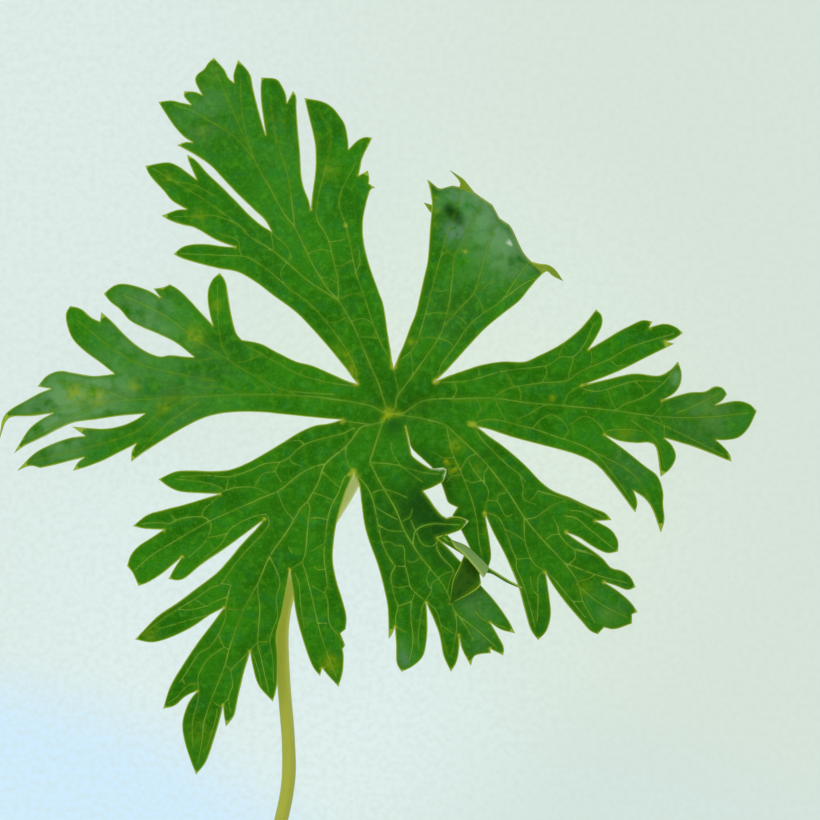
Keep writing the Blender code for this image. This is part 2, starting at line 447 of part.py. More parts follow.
def roll_under(points, height):
    """The outer part of the north-east lobe, wound down about a line across the lobe."""
    across, out = points @ ROLL_AXIS, points @ ROLL_NORMAL
    start = ROLL_START - ROLL_BOW * (np.minimum(across, ROLL_EDGE) - ROLL_MIDDLE) ** 2
    past = np.maximum(out - start, 0)
    turn = past / ROLL_RADIUS
    radius = ROLL_RADIUS * (1 - ROLL_TIGHTENING * turn)
    out = np.where(past > 0, start + radius * np.sin(turn), out)
    flat = np.outer(across, ROLL_AXIS) + np.outer(out, ROLL_NORMAL)
    return np.column_stack([flat, height - radius * (1 - np.cos(turn)) * (past > 0)])


# The blade

def spread_points(outline, veins):
    """Points inside a lobe: along its veins, then on a grid wherever there is room between them."""
    along = np.vstack([smooth_curve(vein, VEIN_STEP) for vein in veins])
    closed = np.vstack([outline, outline[:1]])
    keep = inside(along, outline) & (distance_to_line(along, closed)[0] > RIB_ROOM)
    ribs = []
    for point in along[keep]:
        if all(np.hypot(*(point - other)) > RIB_APART for other in ribs):
            ribs.append(point)
    ribs = np.array(ribs)
    low, high = outline.min(0), outline.max(0)
    rows = np.arange(low[1], high[1], GRID_STEP * math.sin(math.radians(60)))
    grid = np.array([(x + GRID_STEP / 2 * (k % 2), y) for k, y in enumerate(rows)
                     for x in np.arange(low[0], high[0], GRID_STEP)])
    gap = np.sqrt(((grid[:, None] - ribs[None]) ** 2).sum(2)).min(1)
    keep = inside(grid, outline) & (gap > GRID_ROOM) & (distance_to_line(grid, closed)[0] > GRID_ROOM)
    return ribs, grid[keep]


def add_lobe(mesh, name, rib_weight):
    """One lobe as an open sheet of triangles, lifted to its place, with its veins pressed in."""
    lobe = LOBES[name]
    outline = lobe_outline(lobe)
    ribs, grid = spread_points(outline, VEINS[name])
    points = np.vstack([outline, ribs, grid])
    size = len(outline)
    edges = [(k, (k + 1) % size) for k in range(size)]
    flat, _, faces, *_ = delaunay_2d_cdt([tuple(p) for p in points], edges, [], 1, 1e-5)
    flat = np.array([tuple(p) for p in flat])
    height = blade_height(name, flat)
    is_rib = np.zeros(len(flat), bool)
    is_rib[size:size + len(ribs)] = True
    height[is_rib] -= GROOVE_DEPTH
    placed = np.column_stack([flat, height]) if name != "ne" else roll_under(flat, height)
    on_midrib = distance_to_line(flat, VEINS[name][0])[0] < RIB_APART / 2
    taper = 1 - RIB_TAPER * np.linalg.norm(flat, axis=1) / lobe["reach"]
    weight = np.where(is_rib, np.where(on_midrib, taper, SECOND_RIB * taper), 0)
    verts = [mesh.verts.new(p * MM) for p in placed]
    for vert, value in zip(verts, weight):
        vert[rib_weight] = value
    for face in faces:
        mesh.faces.new([verts[k] for k in face])


def add_grid(mesh, rows):
    """A sheet of triangles through rows of points, each row as long as the next or ending in one."""
    rows = [[mesh.verts.new(np.array(p, float) * MM) for p in row] for row in rows]
    for near, far in zip(rows, rows[1:]):
        if len(far) == 1:
            for a, b in zip(near, near[1:]):
                mesh.faces.new([a, b, far[0]])
            continue
        for a, b, c, d in zip(near, near[1:], far[1:], far):
            mesh.faces.new([a, b, c])
            mesh.faces.new([a, c, d])


def widen(row):
    """A row of inner margin, crease and outer margin, with a point put between each two."""
    row = np.array(row, float)
    return [row[0], (row[0] + row[1]) / 2, row[1], (row[1] + row[2]) / 2, row[2]]


def add_twisted_segment(mesh):
    """The side segment of the south lobe: a folded band, its end tooth and the tooth hung over."""
    root = np.array(TWIST_ROOT)
    root = np.column_stack([root, blade_height("s", root)])
    rows = [root] + [widen(row) for row in TWIST_ROWS]
    add_grid(mesh, rows)
    tooth = [rows[-1][:3]]
    for low, high in TWIST_TOOTH:
        low, high = np.array(low), np.array(high)
        tooth.append([low, (low + high) / 2, high])
    add_grid(mesh, tooth + [[TWIST_TOOTH_TIP]])
    margin = [rows[3][0], rows[4][0], rows[5][0]]
    add_grid(mesh, [margin] + TWIST_FLAP + [[TWIST_FLAP_TIP]])


def build_blade(collection, material):
    """The seven lobes and the twisted segment as one open sheet, then given its thickness."""
    mesh = bmesh.new()
    rib_weight = mesh.verts.layers.float.new("rib")
    for name in LOBES:
        add_lobe(mesh, name, rib_weight)
    add_twisted_segment(mesh)
    bmesh.ops.remove_doubles(mesh, verts=mesh.verts, dist=0.01 * MM)
    bmesh.ops.recalc_face_normals(mesh, faces=mesh.faces)
    middle = min(mesh.faces, key=lambda face: face.calc_center_median().xy.length)
    if middle.normal.z < 0:
        bmesh.ops.reverse_faces(mesh, faces=mesh.faces)
    weights = [vert[rib_weight] for vert in mesh.verts]
    data = bpy.data.meshes.new("leaf_blade")
    mesh.to_mesh(data)
    mesh.free()
    blade = bpy.data.objects.new("leaf_blade", data)
    collection.objects.link(blade)
    data.materials.append(material)
    data.shade_smooth()
    ribs = blade.vertex_groups.new(name="ribs")
    for index, weight in enumerate(weights):
        ribs.add([index], weight, "REPLACE")
    shell = blade.modifiers.new("thickness", "SOLIDIFY")
    shell.thickness = RIB_THICKNESS * MM
    shell.offset = -1
    shell.vertex_group = "ribs"
    shell.thickness_vertex_group = BLADE_THICKNESS / RIB_THICKNESS
    blade.location = (JUNCTION[0] * MM, JUNCTION[1] * MM, 0)
    return blade


# The petiole

def build_petiole(collection, material):
    """A round stalk of eight sides, one of them flat on the surface along the outer run."""
    curve = bpy.data.curves.new("petiole", "CURVE")
    curve.dimensions = "3D"
    curve.twist_mode = "Z_UP"
    curve.bevel_depth = PETIOLE_DIAMETER / 2 * MM
    curve.bevel_resolution = 2
    curve.use_fill_caps = True
    route = smooth_curve(PETIOLE_ROUTE, PETIOLE_STEP)
    route[:, 2] = np.maximum(route[:, 2], PETIOLE_FLAT)
    spline = curve.splines.new("POLY")
    spline.points.add(len(route) - 1)
    for point, place in zip(spline.points, route):
        point.co = (*(place * MM), 1)
        point.tilt = HALF_SIDE
    curve.materials.append(material)
    petiole = bpy.data.objects.new("petiole", curve)
    petiole.location = (JUNCTION[0] * MM, JUNCTION[1] * MM, 0)
    collection.objects.link(petiole)
    return petiole


def make_material(name, colour, roughness):
    """A Principled material with one colour."""
    material = bpy.data.materials.new(name)
    material.use_nodes = True
    shader = material.node_tree.nodes["Principled BSDF"]
    shader.inputs["Base Color"].default_value = (*colour, 1)
    shader.inputs["Roughness"].default_value = roughness
    shader.inputs["Metallic"].default_value = 0.0
    return material


def main():
    for old in list(bpy.data.objects):
        bpy.data.objects.remove(old, do_unlink=True)
    collection = bpy.data.collections.new("hardy_geranium_leaf")
    bpy.context.scene.collection.children.link(collection)
    build_blade(collection, make_material("leaf green", (0.035, 0.19, 0.012), 0.5))
    build_petiole(collection, make_material("petiole green", (0.36, 0.42, 0.09), 0.55))


main()
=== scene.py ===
import math

import bmesh
import bpy
import numpy as np
from mathutils.geometry import delaunay_2d_cdt
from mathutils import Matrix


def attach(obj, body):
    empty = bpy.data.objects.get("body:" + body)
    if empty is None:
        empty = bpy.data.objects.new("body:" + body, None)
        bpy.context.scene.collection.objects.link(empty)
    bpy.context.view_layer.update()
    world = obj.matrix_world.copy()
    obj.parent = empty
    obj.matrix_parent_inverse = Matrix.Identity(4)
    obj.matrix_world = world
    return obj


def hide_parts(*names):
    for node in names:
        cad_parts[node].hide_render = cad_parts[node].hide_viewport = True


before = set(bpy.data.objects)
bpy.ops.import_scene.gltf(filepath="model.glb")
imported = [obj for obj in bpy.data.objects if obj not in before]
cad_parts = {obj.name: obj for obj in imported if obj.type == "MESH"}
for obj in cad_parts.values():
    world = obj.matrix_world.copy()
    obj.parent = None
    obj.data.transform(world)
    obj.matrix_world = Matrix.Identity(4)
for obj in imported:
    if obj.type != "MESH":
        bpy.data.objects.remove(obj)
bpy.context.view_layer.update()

mm = 0.001
curveSpans = 8    # steps from one given point of a curve to the next, before it is read off evenly
partSize = 600    # points that are worked on at a time
snap = 1e-5       # triangles take corners nearer than this as one
rowShare = 0.866  # height of a triangle with equal sides

# The values that the blade's mesh carries, for its colours and its thickness
fieldNames = ("vein", "net", "clear", "rim", "rib", "node", "yellow", "pale", "grey", "dark", "bleached")

# The blade: one thin sheet cut into seven lobes. Lengths are in millimetres.
blade = dict(
    junction=(1.4, 20.0),
    centreHeight=13.4,        # upper face at the junction, above the surface
    settle=0.12,              # the thin lamina lies this much lower than the thicker solid's upper face
    lamina=0.3,               # thickness between the veins
    rib=0.75,                 # what the midrib adds to it near the petiole
    ribTaper=0.7,
    marginTaper=(0.6, 0.6),   # share of the lamina's thickness at the margin, and where it is full
    # spacing of the sheet's corners
    marginStep=0.4, veinStep=0.4, fillStep=0.52, seamStep=0.5,
    # how near corners on veins, banks and net may be to each other and to the margin, and how near those
    # between them may be to the margin, a vein and the net
    veinRoom=(0.12, 0.1), bankRoom=(0.15, 0.15), bankFromVein=0.1, netRoom=(0.2, 0.22),
    fillRoom=(0.28, 0.42, 0.28),
    notchTurn=0.3,            # a corner whose two strokes turn back by more than this cosine is a notch
    dropPower=2.2, sideDroop=1.6, sideReach=14.0,
    # the south lobe's east half is lifted and the south-east lobe's west half dips, beyond a strip along the
    # midrib: by how much and over what width, and the radius where the lift ends, with its fade
    halfStart=1.5, southLift=(1.3, 5), southLiftEnd=(24, 8), southEastDip=(1.0, 4),
    seamFlat=6.0,             # lobes start to bend down this far from their seams
    funnelRise=1.4, funnelRadius=7.0,
    rollAxis=(0.8, -0.6), rollNormal=(0.6, 0.8), rollRadius=4.3, rollTightening=0.07,
    # how far out the rolled edge stands at each place across the lobe, and how far the roll reaches
    rollEdge=[(-15, 29.4), (-13, 29.3), (-11.9, 30.8), (-10.8, 31.3), (-9, 31.9), (-7.7, 31.9), (-5.8, 32),
              (-4.7, 31.5), (-3.9, 31.1), (-2.1, 31.2), (-1.2, 30.8), (0.6, 29.8), (1.6, 29.3), (2.7, 29),
              (3.6, 28.9), (6, 28.8)],
    rollReach=3.8,
    rollSheen=0.72, rollSheenTurn=(0.9, 0.4),  # painted sheen from this angle on, over this much of a turn
    dentAt=(9.3, 27.5), dentSize=(1.9, 0.9), dentDepth=1.3,
    midribGroove=0.3, veinGroove=0.2, fineGroove=0.1, netGroove=0.06,
    grooveWidth=0.5, netWidth=0.32, netHalf=0.075,
    grooveFade=0.6,           # how much shallower a groove is at the vein's tip
    edgeFlat=0.7,             # grooves fade out over this width along the margin
    quilt=(0.08, 1.3),        # how deep and how wide the lamina sinks towards a vein
    midribHalf=(0.13, 0.06),  # half width of the pale line, at the junction and at the tip
    veinHalf=(0.085, 0.055),
    fineHalf=(0.055, 0.04),
    bank=0.2,                 # a row of corners this far to either side of a vein keeps its line crisp
    palm=9.0, palmFade=4.0,   # the midribs run together within this radius, and their grooves fade to it
    areole=(1.8, 0.9),        # length of the small fields along a vein, and half their width across it
    areoleRoom=1.2,
    seedInset=0.6,            # a row of fields this far inside the margin
    seedArea=2.2,             # square millimetres for each field between those rows
    netLongest=7.0, netPieces=4, netGap=0.3,
    netSway=[(0.16, 2.3, 1.0), (0.1, 4.1, 0.0)],  # how far the net's lines sway, how often, and the shift
    ripple=0.12, rippleInset=2.0,
    rippleWaves=[(0.71, 1.3), (0.83, 0.4), (1.27, -0.9)], rippleShare=0.6,
    # how much the veins' colour comes and goes along them, with the ripple: its middle, change and least
    waxing=(0.8, 2.0, 0.5),
    node=0.27,                # size of the pale node in each notch
    thinEdge=0.2,             # width of the see-through edge that two teeth of the south lobe have
    weld=0.02, sharp=65,      # corners nearer than this merge, and edges sharper than this angle stay sharp
)

# Sinuses between the lobes, counter-clockwise from the one right of the north-west lobe. They and all
# the outlines below are measured from the junction, in millimetres, as seen from above.
sinusAt = {
    "ne_nw": (0.8, 6.2), "nw_w": (-4.2, 4.0), "w_sw": (-6.4, -0.95), "sw_s": (-4.75, -8.3),
    "s_se": (2.45, -1.85), "se_e": (12.2, -1.8), "e_ne": (6.4, 4.3),
}

# A lobe runs from one sinus to the next. Its margin is a row of strokes, and each stroke is a smooth
# curve that ends at a corner: the tip of a tooth or the notch beside it.
northWest = [
    [(0.5, 7.5), (0.3, 9), (0, 11), (-0.6, 15), (-1.3, 17), (-2.7, 21), (-3.4, 24), (-3.5, 26.5),
     (-3.2, 28.5), (-2.5, 31.1), (-1.8, 31.5)],
    [(-2.7, 32.1)],
    [(-2.6, 32.8), (-2.8, 33.9)],
    [(-4.1, 33.2)],
    [(-3.9, 34.2), (-3.6, 35.6), (-2.7, 37.5), (-2.2, 38.5)],
    [(-3.2, 38.6), (-4.3, 38.1), (-5.5, 36.9)],
    [(-5.6, 38.3), (-6, 40.3), (-6.8, 41.6), (-7.8, 42.8), (-9.2, 43.6), (-11.7, 44.1)],
    [(-11.2, 42), (-10.3, 38.2), (-10.1, 36), (-10.15, 33.8), (-10.5, 31), (-10.75, 28.4)],
    [(-11.1, 29.8), (-11.8, 31.6), (-12.15, 33.5), (-12.3, 36.5), (-12.6, 39.5), (-12.8, 42.5),
     (-12.85, 44.3), (-13.3, 45.1)],
    [(-14.15, 43.4)],
    [(-14.3, 44.6), (-14.9, 45.9), (-15.7, 46.8), (-17.75, 47)],
    [(-17.85, 45.2), (-17.7, 43), (-17.1, 38.9)],
    [(-17.6, 40.5), (-18.4, 43.4), (-18.9, 45.4), (-19.4, 47.6), (-21, 49.5)],
    [(-21.65, 47.5), (-21.6, 46.3)],
    [(-22.4, 47), (-23, 48.2), (-24.4, 49.8)],
    [(-25.2, 49.1), (-25.8, 48.2), (-26.8, 47.4), (-27, 46.4), (-26.1, 44.6)],
    [(-27, 45), (-28.5, 45.1)],
    [(-28.6, 44.4), (-27.6, 43.2)],
    [(-29, 43.5), (-30.4, 43.8), (-32.2, 43.6)],
    [(-31.2, 42), (-29.9, 40.1), (-28.6, 38.7), (-27.4, 37.9)],
    [(-28.4, 37.95), (-29.5, 37.5)],
    [(-28.5, 37), (-26.6, 35.9), (-24.8, 34.6), (-23, 32.7), (-21.1, 30.7), (-18.9, 28.6), (-17.2, 27),
     (-16.3, 25.4)],
    [(-17.9, 26.4), (-19.6, 27.9), (-21.2, 29.6), (-23.4, 31.8), (-25.3, 33.6), (-26.8, 35.3),
     (-28.1, 36.2)],
    [(-27.9, 35.2), (-26.8, 32.7)],
    [(-28, 33.6), (-29.4, 34.6), (-31, 35.1), (-34, 34.6)],
    [(-33.3, 33.2), (-31.4, 31.1), (-30.2, 29.7), (-28.2, 28.5)],
    [(-29.6, 28.4), (-31.7, 27.6)],
    [(-30.4, 26.9), (-28.6, 26.3), (-27, 25.9), (-24, 24.2), (-21.3, 23.2)],
    [(-23, 23.3), (-25.2, 23.6), (-27.2, 23.6), (-28.8, 23.2), (-30, 22.2)],
    [(-28.4, 21.5), (-26, 20.8), (-23.6, 20.2), (-21, 19.7), (-18.5, 18.3), (-16, 16.4), (-13, 14.2),
     (-10.8, 12), (-8.4, 9.3), (-6, 6.4)],
]
west = [
    [(-5.6, 4.4), (-8, 5.5), (-10.5, 6.6), (-12.8, 7.2), (-15.5, 8.5), (-17.8, 9.7), (-20.4, 10.2)],
    [(-21.2, 11.2), (-21.8, 13.3), (-22.3, 16), (-22.7, 18.3), (-23.5, 19.6)],
    [(-24.5, 18.7), (-25.1, 17.4), (-25.2, 15.8), (-24.9, 13.8), (-24.5, 12.3)],
    [(-26, 13.9), (-27.8, 15.9), (-29.3, 17.3), (-30.5, 18)],
    [(-31.4, 17.6), (-32.8, 17.4)],
    [(-31.9, 16.2)],
    [(-33.2, 17), (-35, 17.7), (-37, 18.1), (-38.4, 17.8), (-39.8, 16.7)],
    [(-38.8, 15.5), (-37.5, 14.5), (-36.2, 13), (-34.6, 12.1), (-32, 11), (-29.6, 9.8), (-27.1, 7.8)],
    [(-28.6, 7.9), (-30.5, 8.1), (-31.8, 7.9), (-33.4, 8.4), (-35.2, 9.5), (-37, 11.1), (-38.6, 12.8),
     (-40.1, 14.1)],
    [(-40.3, 12.8)],
    [(-41.6, 13.4), (-43, 14.6), (-44.5, 15)],
    [(-45.1, 13.9), (-44.9, 12.2), (-44.1, 10.3), (-42.4, 8.6), (-40.2, 7), (-38.3, 5.5)],
    [(-39.7, 5.3), (-41.5, 5.2), (-44, 5.6), (-46, 5.9), (-47.8, 5.2), (-49.1, 3.7)],
    [(-47.2, 3.4)],
    [(-48.8, 2.8), (-51, 1.6), (-52.9, 0.5), (-54, -0.8), (-54.5, -3.6)],
    [(-53.7, -1.3), (-52.6, -0.5), (-50, -0.4), (-46.9, 0)],
    [(-48.6, -0.9), (-50.4, -2.4), (-52.4, -5.6)],
    [(-50.8, -4.5), (-48.3, -3.3), (-46.2, -2.2), (-44, -1.3), (-41, -0.9), (-37.5, -0.4), (-34, -0.1)],
    [(-35.4, -1), (-37.4, -1.8), (-40, -2.2), (-44.2, -1.9)],
    [(-42.4, -3.2)],
    [(-44.6, -3.5), (-47.2, -4.4), (-49.6, -5.7), (-52, -8.1)],
    [(-50.2, -7.4), (-48.7, -7.7)],
    [(-46.5, -7.2), (-44.2, -6.6), (-42.5, -6.2)],
    [(-43.4, -6.9), (-44.1, -8.1)],
    [(-42.4, -7.6), (-40, -6.7), (-37.8, -5.6), (-35.2, -4.3)],
    [(-35.8, -5.3), (-35.9, -6.8)],
    [(-34.2, -5.5), (-31.5, -3.8), (-29, -2.3), (-26.5, -1), (-24, -0.2), (-21, 0.15), (-17.5, 0.1),
     (-14.5, -0.2), (-11.5, -0.5), (-9, -0.75)],
]
southWest = [
    [(-8.4, -1.5), (-10.2, -1.75), (-12.2, -2.6), (-14.5, -4), (-17, -5.5), (-19.5, -6.9), (-22, -7.9),
     (-24.5, -8.15), (-27.5, -8.05), (-29.8, -8.2), (-32.1, -9.25)],
    [(-30.7, -10.3), (-29, -11), (-26, -11.2), (-23.4, -11.3)],
    [(-25.5, -11.9), (-28.5, -12.8), (-31.5, -13.6), (-33.6, -14.2), (-35.7, -15.8)],
    [(-34.2, -16.15), (-31.4, -16.3)],
    [(-33.2, -17.5), (-34.9, -18.6), (-36, -19.9), (-36.5, -21.4)],
    [(-35.7, -22.4), (-34.9, -24.2)],
    [(-33.6, -23.7), (-31.8, -22.6), (-30.2, -21.3), (-28.8, -20.1)],
    [(-29.7, -21.4), (-30.7, -23.2)],
    [(-29.2, -23.4), (-28, -22.8), (-26, -21.1), (-23.2, -19.2), (-20.8, -17.5), (-17.2, -14.8)],
    [(-18.6, -16.4), (-20.5, -18.4), (-22.3, -20.6), (-24, -22.4), (-26.6, -24.4), (-29.5, -26.6),
     (-32.4, -28.6), (-35.4, -31.7)],
    [(-33, -32.1), (-30.4, -31.4), (-27.5, -30), (-25, -28.3), (-22.9, -27.2)],
    [(-24.4, -29.2), (-26.6, -32.1), (-28.6, -35.1), (-30.5, -38.3), (-31.5, -41.4)],
    [(-29.9, -41), (-28.4, -39.7), (-26.7, -38.9)],
    [(-28, -40.7), (-28.8, -43.4), (-28.5, -46), (-27.7, -48.6), (-26.9, -50.7)],
    [(-25.5, -48.8), (-24.5, -46), (-23.6, -43), (-23.1, -40.9)],
    [(-22.95, -42.4), (-22.7, -43.9)],
    [(-21.6, -42.4), (-21, -39.8), (-20.3, -36.8), (-19.3, -33.3)],
    [(-18.9, -35.5), (-18.1, -38.1), (-16.1, -40.4)],
    [(-15.5, -37.8), (-15.4, -34), (-15.55, -31), (-14.7, -27.5), (-13.7, -21.9)],
    [(-13.35, -24.5), (-12.8, -28.2), (-11.8, -32), (-10.6, -35.3), (-9.5, -36.8)],
    [(-9.2, -35.7)],
    [(-8.2, -36.9), (-6.9, -38.3)],
    [(-6.3, -36), (-6.2, -33.9), (-6.35, -33)],
    [(-6, -32.5)],
    [(-6.65, -30.8)],
    [(-5.9, -30.2)],
    [(-5.8, -28.4), (-6.4, -26), (-7.2, -23.4), (-7.7, -20.5), (-7.5, -17.2), (-6.9, -14.2), (-5.9, -11)],
]

# Where the twisted side segment of the south lobe is rooted: its inner margin, crease and outer margin
twistRoot = [(6.8 + 0.225 * k, -17.4 + 0.06 * k) for k in range(5)]
twistRoot += [(7.7 + 0.15 * k, -17.16 + 0.04 * k) for k in range(1, 5)]
south = [
    [(-4, -10), (-3.7, -12.5), (-3.3, -15.5), (-2.6, -18), (-1.4, -21.3), (-0.5, -24.7), (0, -27.5),
     (0.1, -31.6)],
    [(0.6, -30.9), (1, -29.9)],
    [(1.15, -32.5), (1.2, -34.9), (1.9, -36.2)],
    [(3.5, -35.4), (4.9, -34), (5.4, -31.8), (5.5, -29.5), (5.35, -26.5)],
    [(6.3, -28.6), (7.2, -31), (7.8, -34), (8.8, -36.2)],
    [(9.6, -34.8), (9.95, -32.8), (9.9, -31)],
    [(10.4, -33.1), (11.6, -35.4)],
    [(12, -34.1), (13, -33.7), (14.4, -33.6)],
    [(14.3, -33)],
    [(16.1, -33.9)],
    [(16.2, -32.8), (15.3, -31), (14.3, -29.3)],
    [(15.8, -30.3), (17.8, -30.8)],
    [(16.6, -28.6), (14.8, -26.1), (12.9, -24), (11.3, -22), (9.6, -20.2), (8.3, -18.8), twistRoot[0]],
    *[[point] for point in twistRoot[1:]],
    [(9.5, -16.6), (10.3, -16.2), (11.3, -15.1)],
    [(10.8, -14.8), (9.9, -14.5), (8.9, -14.5), (8.2, -14.7)],
    [(7.5, -14.3), (6.7, -13.4), (5.8, -12.1), (4.9, -10.9)],
    [(6.2, -10.4), (7.1, -9.9), (7.8, -9.4), (8.2, -7.9)],
    [(7.7, -7.6), (6.8, -7.75), (5.9, -7.7), (5, -7.2), (4, -6.5), (3.3, -5.8), (3.1, -4.9), (2.8, -3.5)],
]
southEast = [
    [(2.9, -3.6), (3.3, -4.9), (4.6, -6.2), (6.1, -7.6), (7, -8.8), (7.6, -10.2), (8.1, -11.8),
     (8.5, -12.6), (9.7, -13.2)],
    [(9, -14.3)],
    [(9.7, -15.4), (10.8, -17.5), (11.9, -19.8), (12.8, -21.3), (13.7, -22.3)],
    [(14.4, -20.3), (14.2, -17.8), (13.8, -15.6), (13.5, -13.9)],
    [(14.6, -16.5), (16.2, -19.5), (17.6, -22.5), (18.4, -24.6), (19.2, -27.6), (20, -30.3), (21, -31.8)],
    [(22.2, -30.5), (22.8, -28.2), (22.5, -25.2), (22, -22.3)],
    [(23.2, -24.3), (25, -26.7), (27, -29), (28.3, -30.5), (29.4, -31)],
    [(30.25, -30.05)],
    [(31.8, -30.3), (34.2, -29.5)],
    [(34.2, -28.2)],
    [(35, -27.9)],
    [(34, -26.5), (32.3, -25), (30.3, -23.7)],
    [(31.8, -24.15), (33.5, -24.8), (34.7, -24.4)],
    [(34, -23), (32.8, -22.1), (31.3, -21.7), (30, -20.3), (28.4, -19.1), (26.4, -17.8), (24.9, -16.7)],
    [(26.8, -17.45), (28.6, -18.65), (30.6, -19.6), (32.2, -19.4)],
    [(32.2, -17.9), (31.2, -16.3), (29.1, -15.1)],
    [(31.3, -15)],
    [(30.4, -14), (28.2, -13.1), (25.4, -11.8), (23.1, -10.9), (21.4, -9.6), (19, -7.1), (16.4, -4.85),
     (14.2, -3.3)],
]
east = [
    [(14.5, -2.4), (18, -3.55), (22, -4.6), (26, -5.7), (29, -7.1), (31.2, -9.4), (33.2, -12),
     (34.6, -13.9)],
    [(34.9, -12.5), (34.4, -10.9)],
    [(35.9, -11.9), (37.1, -13.6), (38.2, -16.7)],
    [(38.7, -15), (38.5, -12.8), (38.5, -11), (37.7, -8.8), (35.8, -7.3), (33.2, -5.2), (30.2, -3)],
    [(32.4, -3.9), (34.8, -4.2), (36.6, -4.15), (37.6, -5), (38.2, -8.9)],
    [(39.6, -7.7), (40.3, -6.1), (39.8, -4.6), (38.7, -3.5)],
    [(40.8, -4.1), (43.4, -4.9), (48.1, -6.8)],
    [(47.9, -5.8), (47, -4.7), (46, -3.8)],
    [(47.5, -3.8), (49.2, -3.4), (50.6, -2), (51.7, 0.3)],
    [(50.6, 1.3), (48.8, 1.7), (45.9, 1.15)],
    [(46.8, 1.7), (47.5, 2.6)],
    [(46.9, 3.5), (45.8, 3.7), (44.4, 3), (42.4, 2.9), (40.4, 2.4), (38.3, 1.7)],
    [(40, 2.7), (40.9, 4), (41.1, 5.6), (40.6, 7.2)],
    [(39.6, 6.1), (37.8, 5.2), (34.4, 5.5), (31, 4.8), (27, 3.8)],
    [(28.6, 4.4), (31.2, 5.4), (34, 6.7), (36.6, 8), (40.1, 9.7)],
    [(38.9, 10)],
    [(40.1, 10.4), (41.3, 11.2)],
    [(40.2, 12.1), (38.6, 12.5), (36.6, 12)],
    [(37, 12.8)],
    [(35.6, 13), (34, 12.3), (32.4, 11.5), (30.6, 10.4), (28, 8.85)],
    [(29, 10.4), (29.9, 12.2), (29.9, 13.6), (29.1, 14.5)],
    [(28, 13), (26.4, 11.3), (24, 9.5), (21, 8), (19, 7.15), (16, 7.2), (13, 6.7), (9.6, 5.6)],
]
# The north-east lobe is drawn as it lies before its outer third is rolled under
northEast = [
    [(8.4, 6.2), (11.5, 9.6), (13.6, 11.8), (16, 13.8), (18.3, 15.6), (19.6, 17.2), (20.9, 18.8),
     (21.9, 19.9)],
    [(22.4, 21.2), (22.6, 22.6)],
    [(24.2, 23.8), (25.8, 25.3)],
    [(24.6, 26.2), (23.5, 26.4)],
    [(25.4, 28.2), (26.8, 30.4), (27.2, 32.6)],
    [(24.9, 31.8), (22.2, 30.3)],
    [(23.7, 32.9), (24.3, 35.8), (23.9, 37.8)],
    [(21.6, 37.5), (19.3, 36), (17.6, 34.1)],
    [(18.4, 36.5), (18.5, 38.6), (17.7, 40)],
    [(16, 38.3), (14.7, 36)],
    [(14.6, 37.2), (14, 38.2)],
    [(13, 36.8), (12.2, 35.3)],
    [(10.9, 35.6), (9.4, 35.9)],
    [(9.3, 34.8), (9.2, 33.6)],
    [(8.4, 34), (6.9, 34.4)],
    [(6.5, 33), (6.3, 31.5), (6.2, 30), (6.1, 28.5), (5.9, 26), (5.7, 23), (5.5, 21), (5, 18.8),
     (4.5, 16.5), (3.9, 14), (3.1, 12), (2.3, 9.8), (1.4, 7.6)],
]

# Teeth that stick out of its rolled end: rows from one edge to the other with heights above the surface, and
# the tip of each
endTeeth = [
    ([[(9.4, 31.2, 10.4), (12.4, 30.4, 10.2)], [(10.1, 31.8, 10.4), (11.4, 31.7, 10.2)],
      [(9.8, 32.7, 10.7), (10.4, 32.8, 10.5)]], (8.7, 33.9, 11.0)),
    ([[(19.6, 18.2, 11.9), (19.2, 21.4, 10.6)], [(21.0, 19.0, 11.5), (21.0, 20.9, 10.9)],
      [(22.2, 19.8, 11.2), (22.4, 20.7, 11.0)], [(23.1, 19.1, 10.6), (23.5, 19.9, 10.6)]], (24.5, 18.4, 9.8)),
    ([[(6.3, 27.9, 12.6), (6.4, 28.8, 12.4)], [(5.8, 28.2, 12.5), (6.0, 29.1, 12.3)]], (5.0, 29.4, 12.2)),
]

